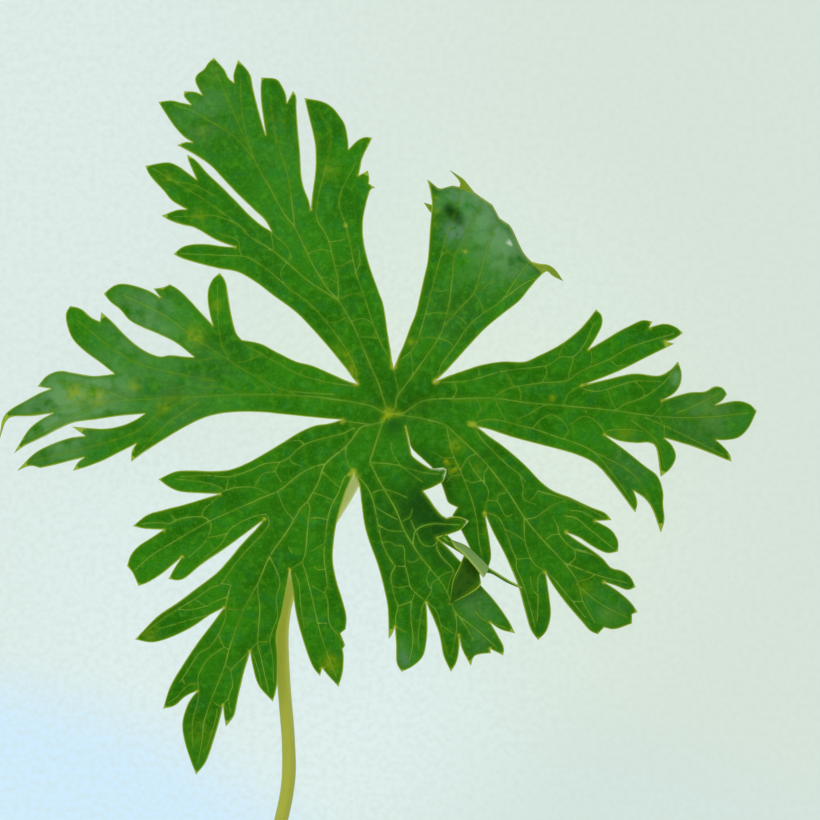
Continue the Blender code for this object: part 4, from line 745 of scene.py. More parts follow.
def cellSides(seeds):
    # The two ends of every side of the seeds' Voronoi cells: a side runs from the middle of one triangle's
    # circumcircle to that of the triangle beyond an edge that both have
    flat, faces = triangulate(seeds)
    a, b, c = flat[faces[:, 0]], flat[faces[:, 1]] - flat[faces[:, 0]], flat[faces[:, 2]] - flat[faces[:, 0]]
    twice = 2 * (b[:, 0] * c[:, 1] - b[:, 1] * c[:, 0])
    bb, cc = (b**2).sum(1), (c**2).sum(1)
    centre = a + np.column_stack([c[:, 1] * bb - b[:, 1] * cc, b[:, 0] * cc - c[:, 0] * bb]) / twice[:, None]
    sides = np.sort(sidesOf(faces), axis=1)
    key = sides[:, 0] * len(flat) + sides[:, 1]
    order = np.argsort(key, kind="stable")
    twin = np.flatnonzero(key[order][1:] == key[order][:-1])
    return centre[order[twin] % len(faces)], centre[order[twin + 1] % len(faces)]


def netStretches(outline, margin, stretches, draw):
    # Small fields between the veins, as the Voronoi cells of seeds: pairs of seeds along each vein, a row
    # inside the margin, and the rest spread at random. Their sides sway a little, by sines of the place.
    start, run = stretches[:2]
    long, wide = blade["areole"]
    inset, apart = blade["seedInset"], blade["netGap"]
    every = max(1, round(long / blade["veinStep"]))
    middle, along = (start + run / 2)[::every], run[::every]
    normal = leftOf(along)
    row = smoothCurve(margin, long)
    edge = np.diff(row, axis=0)
    inward = leftOf(edge)
    row = row[:-1] + edge / 2
    low, high = outline.min(0), outline.max(0)
    spread = draw.uniform(low, high, (int(np.prod(high - low) / blade["seedArea"]), 2))
    seeds = np.vstack([middle + normal * wide, middle - normal * wide, row + inward * inset, spread])
    seeds = seeds[inside(seeds, outline)]
    near = np.sqrt(squares(seeds, seeds)) < blade["areoleRoom"]
    seeds = seeds[~np.tril(near, -1).any(1)]
    first, second = cellSides(np.vstack([seeds, row - inward * inset]))
    keep = np.linalg.norm(second - first, axis=1) < blade["netLongest"]
    share = np.linspace(0, 1, blade["netPieces"] + 1)[None, :, None]
    lines = first[keep][:, None] * (1 - share) + second[keep][:, None] * share
    crossed = lines[..., ::-1]
    for size, rate, shift in blade["netSway"]:
        lines = lines + size * np.sin(crossed * rate + shift)
    begin, step = lines[:, :-1].reshape(-1, 2), np.diff(lines, axis=1).reshape(-1, 2)
    mid = begin + step / 2
    clear = (toNearest(mid, start, run) > apart) & (distanceToLine(mid, margin)[0] > apart)
    clear &= inside(mid, outline)
    return begin[clear], step[clear]


def oneInEach(points, room):
    # Thins points out to one in each small square
    keep = np.unique(np.round(points / room), axis=0, return_index=True)[1]
    return points[np.sort(keep)]


def soft(points, spots):
    # Soft round spots, each (x, y, radius, amount), added up and held at 1
    spots = np.array(spots, float)
    gap = squares(points, spots[:, :2])
    return np.clip((spots[:, 3] * np.exp(-gap / spots[:, 2] ** 2)).sum(1), 0, 1)


def nearNotches(points, notches):
    # Falls from 1 at a notch as a bell curve of the distance from it
    return bell(np.sqrt(squares(points, notches)).min(1), blade["node"])


def ripple(points):
    # Slow waves across the lamina: a sine of x times a sine of y, and a share of a sine that runs aslant
    x, y = points.T
    (rateX, shiftX), (rateY, shiftY), (slantX, slantY) = blade["rippleWaves"]
    wave = np.sin(rateX * x + shiftX) * np.sin(rateY * y + shiftY)
    return blade["ripple"] * (wave + blade["rippleShare"] * np.sin(slantX * x + slantY * y))


def veinFields(points, stretches):
    # Distance to the nearest vein, the same as a share of its half width, and how deep its groove is there
    start, run, half, groove = stretches

    def work(part):
        gap = gaps(part, start, run)[0]
        deep = (groove * bell(gap, blade["grooveWidth"])).max(1)
        return gap.min(1), (gap / half).min(1), deep
    return inParts(points, work)


def makeLobe(name, palm, draw):
    # One lobe as a sheet of triangles whose corners lie on its margin, veins and net, and between them
    lobe = lobes[name]
    first, last = lobe["sinuses"]
    margin, notches = lobeMargin(lobe)
    outline = np.vstack([seam(first)[:-1], margin, seam(last)[-2:0:-1]])
    closed = np.vstack([outline, outline[:1]])
    stretches = veinStretches(veinsOf[name], fineVeins[name])
    netStart, netRun = netStretches(outline, margin, stretches, draw)
    start, run = (np.vstack([stretches[k], palm[k]]) for k in (0, 1))
    across = leftOf(run) * blade["bank"]

    def clearOf(points, room):
        return points[inside(points, outline) & (distanceToLine(points, closed)[0] > room)]

    def thinned(parts, rooms):
        return clearOf(oneInEach(np.vstack(parts), rooms[0]), rooms[1])

    onVeins = thinned([start, start + run], blade["veinRoom"])
    banks = thinned([start + across, start - across], blade["bankRoom"])
    banks = banks[toNearest(banks, start, run) > blade["bankFromVein"]]
    onNet = thinned([netStart, netStart + netRun], blade["netRoom"])
    low, high = outline.min(0), outline.max(0)
    step, (edgeRoom, veinRoom, netRoom) = blade["fillStep"], blade["fillRoom"]
    x, y = np.meshgrid(np.arange(low[0], high[0], step), np.arange(low[1], high[1], step * rowShare))
    x = x + step / 2 * (np.arange(len(y)) % 2)[:, None]
    fill = clearOf(np.column_stack([x.ravel(), y.ravel()]), edgeRoom)
    fill = fill[(veinFields(fill, stretches)[0] > veinRoom) & (toNearest(fill, netStart, netRun) > netRoom)]
    points = np.vstack([outline, onVeins, banks, onNet, fill])
    edges = [(k, (k + 1) % len(outline)) for k in range(len(outline))]
    flat, faces = triangulate(points, edges, 1)

    gap, ratio, deep = veinFields(flat, stretches)
    _, palmRatio, palmDeep = veinFields(flat, palm)
    net = toNearest(flat, netStart, netRun)
    rim, fromEdge = distanceToLine(flat, margin)[0], distanceToLine(flat, closed)[0]
    inner = ease(fromEdge / blade["edgeFlat"])
    sink, width = blade["quilt"]
    quilt = sink * bell(gap, width)
    deep = np.maximum(deep * inner, palmDeep)
    height = bladeHeight(name, flat) + ripple(flat) * ease(rim / blade["rippleInset"])
    height -= deep + (quilt + blade["netGroove"] * bell(net, blade["netWidth"])) * inner
    placed, turn = rollUnder(flat, height) if name == "ne" else (np.column_stack([flat, height]), 0 * height)
    reach = np.linalg.norm(flat, axis=1) / lobe["reach"]
    rib = deep / blade["midribGroove"] * (1 - blade["ribTaper"] * reach)
    clear = 1 - soft(flat, spots["faint"])
    node = np.maximum(nearNotches(flat, notches) * clear, soft(flat, spots["node"]))
    # Painted sheen: the rolled end is painted pale in the node colour as it turns under
    angle, fade = blade["rollSheenTurn"]
    node = np.maximum(node, blade["rollSheen"] * ease((turn - angle) / fade))
    middle, change, least = blade["waxing"]
    clear *= np.clip(middle + change * ripple(flat), least, 1)
    patches = {key: soft(flat, spots[key]) for key in ("yellow", "pale", "grey", "dark", "bleached")}
    # Painted light through the thin edge of two teeth, laid on with the see-through spot
    thinEdge = soft(flat, spots["thinEdge"]) * bell(rim, blade["thinEdge"])
    patches["bleached"] = np.maximum(patches["bleached"], thinEdge)
    return dict(co=placed, faces=faces, flat=flat, vein=np.minimum(ratio, palmRatio),
                net=net / blade["netHalf"], clear=clear, rim=rim, rib=rib, node=node, **patches)


def gridFaces(rows, columns):
    # Two triangles in every field of a grid
    index = np.arange(rows * columns).reshape(rows, columns)
    a, b, c, d = index[:-1, :-1], index[:-1, 1:], index[1:, 1:], index[1:, :-1]
    return np.concatenate([np.stack([a, b, c], -1).reshape(-1, 3), np.stack([a, c, d], -1).reshape(-1, 3)])


# The twisted segment and the teeth of the rolled lobe are small sheets of their own
fold = dict(
    spans=4, toothSpans=3,    # steps between two points of a row, and between two rows
    far=9.0,                  # half widths that stand for no vein near
    creaseStep=1.3,           # half widths of the crease's pale line from one column to the next
    # The flap is painted dark as painted shade, with a little yellow that browns it; the end teeth are
    # painted pale and node-coloured, as the rolled end's painted sheen
    flap=dict(dark=0.85, yellow=0.16), tooth=dict(pale=0.4, node=0.55),
)


def makeFold(rows, crease=None, **tints):
    # A small sheet through rows of points. Its outer columns are margins, and a crease is a pale line
    grid = throughRows(rows, fold["spans"])
    count = grid.shape[1]
    co = grid.reshape(-1, 3)
    column = np.tile(np.arange(count), len(grid))
    width = np.linalg.norm(grid[:, 1:] - grid[:, :-1], axis=2).mean()
    level = np.ones(len(co))
    vein = fold["far"] * level if crease is None else np.abs(column - crease) * fold["creaseStep"]
    sheet = dict.fromkeys(fieldNames, 0 * level)
    sheet |= dict(co=co, faces=gridFaces(len(grid), count), flat=co[:, :2], vein=vein,
                  net=fold["far"] * level, clear=level, rim=np.minimum(column, count - 1 - column) * width)
    return sheet | {name: amount * level for name, amount in tints.items()}


def makeTwist():
    # The side segment of the south lobe: a band folded over along its crease so that its outer half shows
    # the underside, its end tooth on edge, and the tooth of its inner margin that hangs back over the lobe
    spans = fold["spans"]
    root = np.array(twistRoot)
    rows = [np.column_stack([root, bladeHeight("s", root)])] + [throughRows(row, spans) for row in twistRows]
    band = throughRows(rows, spans)
    tooth = [band[-1, :spans + 1]] + [throughRows(row, spans) for row in twistTooth]
    tooth.append(np.tile(twistToothTip, (spans + 1, 1)))
    flap = [band[3 * spans:, 0]] + [throughRows(row, spans) for row in twistFlap]
    flap.append(np.tile(twistFlapTip, (2 * spans + 1, 1)))
    return [makeFold(rows, crease=spans), makeFold(tooth), makeFold(flap, **fold["flap"])]


def makeEndTeeth():
    # The teeth that stick out of the rolled end of the north-east lobe, each narrowing to its tip
    sheets = []
    for rows, tip in endTeeth:
        rows = [throughRows(row, fold["toothSpans"]) for row in rows]
        sheets.append(makeFold(rows + [np.tile(tip, (len(rows[0]), 1))], **fold["tooth"]))
    return sheets


def readAll(items, what, width):
    # One row of that many numbers for each item
    values = np.empty(len(items) * width, np.float32)
    items.foreach_get(what, values)
    return values.reshape(-1, width) if width > 1 else values


def meshOf(name, co, faces, at=(0, 0, 0)):
    # A smooth mesh from corners in millimetres, all moved by the same step
    mesh = bpy.data.meshes.new(name)
    mesh.from_pydata((co + at) * mm, [], faces.tolist())
    mesh.shade_smooth()
    return mesh


def writeFields(mesh, flat, fields):
    # One value a vertex for each field, and the flat place in millimetres that patterns follow
    mesh.attributes.new("flat", "FLOAT_VECTOR", "POINT").data.foreach_set(
        "vector", np.column_stack([flat, np.zeros(len(flat))]).astype(np.float32).ravel())
    for name, values in fields.items():
        mesh.attributes.new(name, "FLOAT", "POINT").data.foreach_set("value", values.astype(np.float32))


def weld(mesh, room, middleUp=False):
    # Merges corners that are nearer to each other than the room, and turns all faces one way: outwards, or
    # for an open sheet upwards at its middle
    work = bmesh.new()
    work.from_mesh(mesh)
    bmesh.ops.remove_doubles(work, verts=work.verts, dist=room * mm)
    bmesh.ops.recalc_face_normals(work, faces=work.faces)
    if middleUp and min(work.faces, key=lambda face: face.calc_center_median().xy.length).normal.z < 0:
        bmesh.ops.reverse_faces(work, faces=work.faces)
    work.to_mesh(mesh)
    work.free()


def joinSheets(sheets):
    # All sheets as one, welded where their edges meet, with every face on the upper side
    def stacked(name):
        return np.concatenate([sheet[name] for sheet in sheets])

    starts = np.cumsum([0] + [len(sheet["co"]) for sheet in sheets])
    faces = np.vstack([sheet["faces"] + start for sheet, start in zip(sheets, starts)])
    mesh = meshOf("sheet", stacked("co"), faces)
    writeFields(mesh, stacked("flat"), {name: stacked(name) for name in fieldNames})
    weld(mesh, blade["weld"], middleUp=True)
    return mesh


def thicken(sheet):
    # The upper face, the underside one thickness below it along the normal, and a rim round the margin
    count = len(sheet.vertices)
    top, normal = readAll(sheet.vertices, "co", 3) / mm, readAll(sheet.vertex_normals, "vector", 3)
    upper = readAll(sheet.loops, "vertex_index", 1).astype(int).reshape(-1, 3)
    fields = {name: readAll(sheet.attributes[name].data, "value", 1) for name in fieldNames}
    flat = readAll(sheet.attributes["flat"].data, "vector", 3)[:, :2]
    share, width = blade["marginTaper"]
    thick = blade["lamina"] * (share + (1 - share) * ease(fields["rim"] / width))
    thick = thick + blade["rib"] * fields["rib"]
    low = top - normal * thick[:, None]
    sides = sidesOf(upper)
    outer = sides[~np.isin(sides[:, 0] * count + sides[:, 1], sides[:, 1] * count + sides[:, 0])]
    a, b = outer.T
    rim = np.vstack([np.column_stack([b, a, a + count]), np.column_stack([b, a + count, b + count])])
    faces = np.vstack([upper, upper[:, ::-1] + count, rim])
    mesh = meshOf("blade", np.vstack([top, low]), faces, (*blade["junction"], 0))
    writeFields(mesh, np.vstack([flat, flat]), {name: np.tile(value, 2) for name, value in fields.items()})
    side = np.repeat([0, 1, 0], [len(upper), len(upper), len(rim)]).astype(np.int32)
    mesh.polygons.foreach_set("material_index", side)
    mesh.set_sharp_from_angle(angle=math.radians(blade["sharp"]))
    return mesh


def addObject(name, data):
    # A new object in the scene, at the origin
    added = bpy.data.objects.new(name, data)
    bpy.context.scene.collection.objects.link(added)
    return added


def addPiece(name, mesh, materials, body="root"):
    # A finished piece stands at the origin, with its place in its mesh
    piece = addObject(name, mesh)
    for material in materials:
        mesh.materials.append(material)
    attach(piece, body)
    return piece


# Soft spots on the upper face: x, y, radius, amount. Faint spots are where the veins hardly show
spots = dict(
    node=[(0.75, 6.5, 0.5, 1.0), (0.5, 7.3, 0.3, 0.5), (1.2, 7.2, 0.3, 0.5), (-4.5, 4.2, 0.5, 1.0),
          (-4.9, 5.4, 0.4, 0.6), (-5.2, 6.5, 0.35, 0.5), (-6.3, -1.1, 0.5, 0.8), (-4.8, -8.1, 0.5, 1.0),
          (-5.4, -8.6, 0.35, 0.6), (-4.2, -8.8, 0.35, 0.5), (11.9, -1.6, 0.5, 0.9), (11.3, -1.5, 0.3, 0.6),
          (6.7, 4.4, 0.5, 1.0), (7.4, 5.1, 0.35, 0.6), (-5.9, 26.2, 0.4, 0.8), (10.8, 22.5, 0.4, 0.7),
          (8.7, -26.6, 0.3, 0.5), (6.9, -17.6, 0.3, 0.6), (13.5, -14.2, 0.4, 0.7), (21.9, -22.2, 0.4, 0.6)],
    # Painted light: a near-white spot where the floor shows through a gap under the rolled edge, and two
    # teeth whose thin edge is painted pale where light comes through
    bleached=[(17.2, 24, 0.45, 1.0)],
    thinEdge=[(6.2, -7.7, 0.8, 0.4), (7.4, -7.7, 0.8, 0.55), (8, -8.6, 0.8, 0.55), (11, -15.3, 0.8, 0.5)],
    yellow=[(0.1, 0.05, 0.8, 0.95), (1.6, -0.1, 0.5, 0.6), (-0.6, -1, 0.5, 0.6), (1, 6.8, 1.1, 0.3),
            (-5, 6, 1.1, 0.55), (-5.6, 8, 0.8, 0.4), (-24.5, 47.5, 2.0, 0.25), (-43.8, 2.8, 1.6, 0.6),
            (-40.5, 2.2, 1.4, 0.55), (-35.5, 3.8, 1.1, 0.45), (-31.5, 0.8, 1.1, 0.45), (-27, 10.8, 1.8, 0.5),
            (-29.5, 2.4, 1.6, 0.2), (-33.3, -31, 1.4, 0.4), (-8, -35, 1.5, 0.55), (-11.6, -28.5, 1.2, 0.25),
            (9.2, -8, 1.0, 0.7), (8.1, -6.8, 0.5, 0.8), (9.4, -4.6, 1.2, 0.5), (12.6, -7.8, 1.0, 0.35),
            (27.5, -24.5, 1.5, 0.3), (31, -28.5, 1.4, 0.25), (23, 2.1, 0.6, 0.6), (13.6, -16.5, 0.6, 0.5),
            (14.2, -19, 0.5, 0.5), (3.2, 9.8, 0.8, 0.6), (-24, 15, 1.2, 0.4), (33, -3, 1.6, 0.35),
            (45, 0.5, 4.0, 0.2), (-26.4, -45, 3.0, 0.25), (6.7, 30.2, 0.8, 0.4), (6.7, 28.2, 0.8, 0.4),
            (6.6, 26.2, 0.8, 0.3), (-8.2, 34, 1.6, 0.35), (-10, 38, 1.2, 0.3), (-15, 41, 1.4, 0.2),
            (-26, 39.5, 1.2, 0.3), (-26.5, 27.5, 1.4, 0.35), (-31, 33, 1.5, 0.3), (-7, 9, 1.2, 0.3)],
    # Painted sheen: lobe ends and slopes that tilt away are painted paler, as a reflection of the sky
    pale=[(6.8, 29, 1.2, 0.4), (8, 12, 6, 0.15), (12, 20, 6, 0.15), (-13, 27, 9, 0.12), (-25, 4, 7, 0.2),
          (-48, 1.5, 5.5, 0.6), (-42, 3, 5, 0.5), (-46, -5, 5, 0.45), (-34, 13, 6, 0.6), (-30, 0, 6, 0.2),
          (-38, 3, 4, 0.3), (15, 27, 5, 0.6), (18, 22, 5, 0.5), (12, 31, 4, 0.5), (-15, 38, 6, 0.15),
          (-28, 40, 5, 0.2), (45, 0, 6, 0.4), (40.6, 5, 1.6, 0.7), (34, -7, 4, 0.35), (24, -13, 4, 0.1),
          (2, -33.5, 2.5, 0.4), (12.5, -27, 3.5, 0.45), (12.5, -32, 2, 0.35), (31, -27, 3.5, 0.35),
          (-25, 44, 5, 0.3)],
    # Painted sheen in blue-grey: a reflection of the sky on slopes that tilt away
    grey=[(9.2, 25.4, 2.0, 0.7), (9.4, 30.6, 2.0, 0.5), (13.5, 28.8, 3.0, 0.4), (16.5, 24.5, 3.5, 0.35),
          (-49, 1.6, 3.0, 0.3), (2.3, -34.6, 1.2, 0.5), (-32, 8, 5, 0.12)],
    # Painted shade in folds, on the south lobe's turned-down side and in the dent of the rolled lobe, and a
    # darker tone over the south lobes and the middle
    dark=[(0.6, -13, 5.0, 0.3), (14, -8, 7.0, 0.3), (5.5, -12.5, 3.2, 0.6), (7.2, -16.2, 1.8, 0.5),
          (8.4, 28.6, 0.8, 0.7), (9.2, 27.7, 0.9, 0.8), (10.2, 26.7, 0.8, 0.6), (4, -7, 2.0, 0.35),
          (7.6, -20.4, 1.5, 0.35), (0.9, -2, 1.5, 0.35), (1.5, 1, 6.5, 0.35), (3, -19, 7, 0.42),
          (20, -16, 6, 0.2)],
    faint=[(-46, 0, 17, 0.75), (-26, 6, 11, 0.5), (-14, 3, 8, 0.4), (-9, 19, 14, 0.3), (22, 3, 14, 0.35),
           (8, 14, 9, 0.25), (-20, 44, 12, 0.7), (-8, 38, 8, 0.6), (-27, 30, 8, 0.45), (10, 29, 4, 0.5),
           (13, 28, 8, 0.8), (44, 0, 9, 0.45), (36, -10, 5, 0.5), (33, -28, 4, 0.3), (9, -33, 4, 0.5),
           (-19.5, -26.6, 1.3, 0.7), (-20.6, -29, 1.4, 0.7), (-21.5, -31.3, 1.0, 0.6), (1, -1, 7, 0.35),
           (14, 1.5, 6, 0.25), (4, -8, 3, 0.5), (-3, 12, 7, 0.2)],
)


# The petiole: a ribbed stalk carried along its route, from inside the palm to the cut end
petiole = dict(
    # heights are above the surface; the first two points lie inside the blade
    route=[(0, 0, 12.6), (-0.15, -0.3, 11.6), (-1.1, -2.4, 9.3), (-2.6, -5.7, 7.5), (-4.9, -10.1, 5.2),
           (-7.4, -14.1, 3.3), (-10.1, -18, 2.0), (-12.5, -22, 1.25), (-14, -25.6, 1.0), (-14.8, -29.5, 1.0),
           (-14.85, -34.5, 1.0), (-14.45, -40.2, 1.0), (-14, -46, 1.0), (-14, -51.5, 1.0), (-15, -57, 1.0),
           (-17, -64, 1.0), (-19.8, -72, 1.0), (-22.8, -80.5, 1.0), (-25.4, -89.5, 1.0)],
    step=0.45, radius=0.95, sides=40,
    ribs=5, ribHeight=0.035, ribTwist=0.012,
    # it is slimmer below its swollen top: the share, the place and the spread; then the swelling's
    neck=(0.22, 6, 9), swelling=(0.25, 1.6),
    uneven=[(0.02, 0.35, 0), (0.012, 0.9, 1)],  # slow changes of thickness: share, how often, shift
    # the cut end: its rings as shares of the last one, how dry each is, its bulge and the dip at its middle
    cutRings=(0.97, 0.9, 0.55, 0.25), cutLevels=(0.6, 1, 1, 1, 1), cutBulge=(0.12, 0.55), cutDip=0.07,
    ground=0.02,              # its underside is flat this far above the surface
    weld=0.002, sharp=50,
)


def petioleSpine():
    # The route's points, its direction at each, and the two directions across it: level and upwards
    route = smoothCurve(petiole["route"], petiole["step"])
    along = unit(np.gradient(route, axis=0))
    side = unit(np.cross(along, (0, 0, 1)))
    return route, along, side, np.cross(side, along)


def makePetiole():
    # Rings of a ribbed circle at even steps along the route, closed by smaller rings at the cut
    route, along, side, up = petioleSpine()
    angle = np.linspace(0, 2 * np.pi, petiole["sides"], endpoint=False)
    length = np.arange(len(route)) * petiole["step"]
    (neck, place, spread), (swelling, reach) = petiole["neck"], petiole["swelling"]
    size = petiole["radius"] * (1 - neck * bell(length - place, spread) + swelling * bell(length, reach))
    uneven = 1
    for share, rate, shift in petiole["uneven"]:
        uneven = uneven + share * np.sin(length * rate + shift)
    size = size * uneven
    twist = petiole["ribTwist"] * length
    wave = 1 + petiole["ribHeight"] * np.cos(petiole["ribs"] * (angle[None] + twist[:, None]))
    around = np.cos(angle)[:, None] * side[:, None] + np.sin(angle)[:, None] * up[:, None]
    rings = route[:, None] + (size[:, None] * wave)[..., None] * around
    bulge, middle = petiole["cutBulge"]
    cut = [route[-1] + (rings[-1] - route[-1]) * share + along[-1] * bulge * (share - middle)
           for share in petiole["cutRings"]]
    cut.append(np.tile(route[-1] - along[-1] * petiole["cutDip"], (len(angle), 1)))
    start = np.tile(route[0], (1, len(angle), 1))
    rings = np.concatenate([start, rings, cut])
    rings[..., 2] = np.maximum(rings[..., 2], petiole["ground"])
    co = rings.reshape(-1, 3)
    index = np.arange(len(co)).reshape(len(rings), -1)
    a, b = index, np.roll(index, -1, axis=1)
    faces = np.stack([a[:-1], b[:-1], b[1:], a[1:]], -1).reshape(-1, 4)
    level = np.zeros(len(rings))
    level[-len(cut):] = petiole["cutLevels"]
    mesh = meshOf("petiole", co, faces, (*blade["junction"], 0))
    flat = np.column_stack([np.tile(angle, len(rings)),
                            np.repeat(np.arange(len(rings)), len(angle)) * petiole["step"]])
    writeFields(mesh, flat, dict(cut=np.repeat(level, len(angle))))
    weld(mesh, petiole["weld"])
    mesh.set_sharp_from_angle(angle=math.radians(petiole["sharp"]))
    return mesh


def linear(code):
    # sRGB hex to the linear colour that the shaders take
    value = np.array([int(code[k:k + 2], 16) for k in (1, 3, 5)]) / 255
    value = np.where(value <= 0.04045, value / 12.92, ((value + 0.055) / 1.055) ** 2.4)
    return (*value, 1.0)


def addNode(tree, kind, inputs=None, **settings):
    # Adds a node, sets its settings, and sets or links its inputs
    node = tree.nodes.new(kind)
    for name, value in settings.items():
        setattr(node, name, value)
    for name, value in (inputs or {}).items():
        if isinstance(value, bpy.types.NodeSocket):
            tree.links.new(value, node.inputs[name])
        else:
            node.inputs[name].default_value = value
    return node


def newMaterial(name):
    # A material, its node tree and its shader
    material = bpy.data.materials.new(name)
    material.use_nodes = True
    tree = material.node_tree
    return material, tree, tree.nodes["Principled BSDF"]


# The blade's colours are laid on in this order: the paint, what it follows (a field, or noise of that many
# millimetres), the values between which it fades in, its amount, and what breaks it up, if anything
leafLayers = [
    ("mid", 9.0, 0.35, 0.65, 1.0, None),          # broad, slow changes of green
    ("cool", 2.3, 0.48, 0.68, 0.42, None),        # bluer patches, where the tissue is densest
    ("light", 1.1, 0.45, 0.72, 0.45, None),       # mottling, as of cells with more or less chlorophyll
    ("light", 0.36, 0.5, 0.78, 0.5, None),        # fine pale dots
    ("deep", 0.6, 0.5, 0.72, 0.6, None),          # fine dark dots
    ("pale", "pale", 0.0, 1.0, 1.0, 2.5),         # painted sheen: lobe ends that tilt away, painted paler
    # painted sheen in blue-grey on slopes that tilt away
    ("grey", "grey", 0.0, 1.0, 1.0, 0.9),
    ("dark", "dark", 0.0, 1.0, 1.0, None),        # painted shade in folds, the dent and the flap, and a darker tone elsewhere
    ("edge", "vein", 7.0, 1.5, 0.5, 1.1),         # a warmer flank beside each vein
    ("net", "net", 1.8, 0.4, "netAmount", "clear"),
    ("vein", "vein", 1.4, 0.5, "veinAmount", "clear"),
    ("yellow", "yellow", 0.0, 1.0, 1.0, 0.8),     # ageing patches and the star over the petiole
    ("edge", "rim", 0.7, 0.2, 0.5, None),         # a warmer band inside the margin
    ("rim", "rim", 0.2, 0.04, "rimAmount", None),
    # pale nodes in the notches, and the painted sheen of the rolled end and its teeth
    ("node", "node", 0.1, 0.9, 0.75, None),
    ("bleached", "bleached", 0.1, 0.9, 0.85, None),  # painted light: floor seen through a gap, and two teeth's thin edge
]


# What both faces share: the noise's detail, how patchy layers break up, which noise the roughness and the
# bump follow and how much, and the light that passes in
tissue = dict(detail=3.0, breakUp=(0.3, 0.55), roughSize=0.6, roughChange=0.08, grainSize=0.36,
              bump=(0.5, 0.02), ior=1.42, through=0.1, throughReach=(0.5, 1.0, 0.2), throughScale=0.3)


def leafMaterial(name, look):
    # Leaf tissue: layers of green, yellow and grey paint, slightly translucent, with a dull grained skin
    material, tree, shader = newMaterial(name)
    source = {key: addNode(tree, "ShaderNodeAttribute", attribute_name=key).outputs["Fac"]
              for key in fieldNames}
    flat = addNode(tree, "ShaderNodeAttribute", attribute_name="flat").outputs["Vector"]
    sizes = {value for layer in leafLayers for value in (layer[1], layer[5]) if isinstance(value, float)}
    for size in sorted(sizes):
        noise = addNode(tree, "ShaderNodeTexNoise",
                        {"Vector": flat, "Scale": 1 / size, "Detail": tissue["detail"]})
        source[size] = noise.outputs[0]
    colour = linear(look["deep"])
    for paint, follows, low, high, amount, breaker in leafLayers:
        amount = look[amount] if isinstance(amount, str) else amount
        mask = addNode(tree, "ShaderNodeMapRange",
                       {"Value": source[follows], "From Min": low, "From Max": high, "To Max": amount},
                       interpolation_type="SMOOTHSTEP").outputs[0]
        if breaker:
            low, high = (0.0, 1.0) if breaker == "clear" else tissue["breakUp"]
            mask = addNode(tree, "ShaderNodeMapRange", {"Value": source[breaker], "From Min": low,
                                                        "From Max": high, "To Max": mask}).outputs[0]
        colour = addNode(tree, "ShaderNodeMix", {0: mask, 6: colour, 7: linear(look[paint])},
                         data_type="RGBA").outputs[2]
    tree.links.new(colour, shader.inputs["Base Color"])
    change = tissue["roughChange"]
    rough = addNode(tree, "ShaderNodeMapRange", {"Value": source[tissue["roughSize"]],
                                                 "To Min": look["rough"] - change,
                                                 "To Max": look["rough"] + change})
    tree.links.new(rough.outputs[0], shader.inputs["Roughness"])
    shader.inputs["Specular IOR Level"].default_value = look["gloss"]
    shader.inputs["IOR"].default_value = tissue["ior"]
    shader.inputs["Subsurface Weight"].default_value = tissue["through"]
    shader.inputs["Subsurface Radius"].default_value = tissue["throughReach"]
    shader.inputs["Subsurface Scale"].default_value = tissue["throughScale"] * mm
    cells = addNode(tree, "ShaderNodeTexVoronoi", {"Vector": flat, "Scale": 1 / look["cell"]})
    grain = addNode(tree, "ShaderNodeMath", {0: source[tissue["grainSize"]], 1: cells.outputs["Distance"]},
                    operation="ADD").outputs[0]
    strength, height = tissue["bump"]
    bump = addNode(tree, "ShaderNodeBump", {"Height": grain, "Strength": strength, "Distance": height * mm})
    tree.links.new(bump.outputs["Normal"], shader.inputs["Normal"])
    return material


# The upper face is a saturated green with a dull cuticle
upperLook = dict(
    deep="#226404", mid="#2e7a0a", light="#4a921a", cool="#1f7229", pale="#649758", grey="#62866a",
    dark="#1a4a0e", yellow="#8fa412", edge="#4a7a06", rim="#a3b83a", rimAmount=0.7, net="#4a871f",
    netAmount=0.13, vein="#7dac3e", veinAmount=0.7, node="#a3b030", bleached="#d3e3c6",
    rough=0.5, gloss=0.03, cell=0.22,
)

# The underside is paler and duller, and its veins stand out
lowerLook = dict(
    deep="#6c984c", mid="#7aa357", light="#8bb068", cool="#6a9a5a", pale="#96b482", grey="#8aa890",
    dark="#4c7a3e", yellow="#a9ab57", edge="#7c9c4c", rim="#b4c684", rimAmount=0.7, net="#83a568",
    netAmount=0.4, vein="#a2ba7c", veinAmount=0.85, node="#bccb74", bleached="#d3e3c6",
    rough=0.62, gloss=0.08, cell=0.25,
)


# Painted paler near the blade, as painted light against the blade's shadow, olive below, with a drier pale
# cut
petioleLook = dict(
    base="#9ca21c", patch="#abb04c", streak="#a5ab34", top="#c6cc84", cut="#d5dca8",
    patchSize=14.0, patchDetail=2.0, streaks=(2.2, 0.12, 1.0), streakScale=2.0, streakDetail=3.0,
    topFade=(36.0, 10.0), shade=(54.0, 36.0), shadeGlow=0.38, fuzz=0.35, rough=0.5, gloss=0.15,
    through=0.15, throughReach=(0.8, 1.0, 0.3), throughScale=0.6, bump=(0.4, 0.05),
)


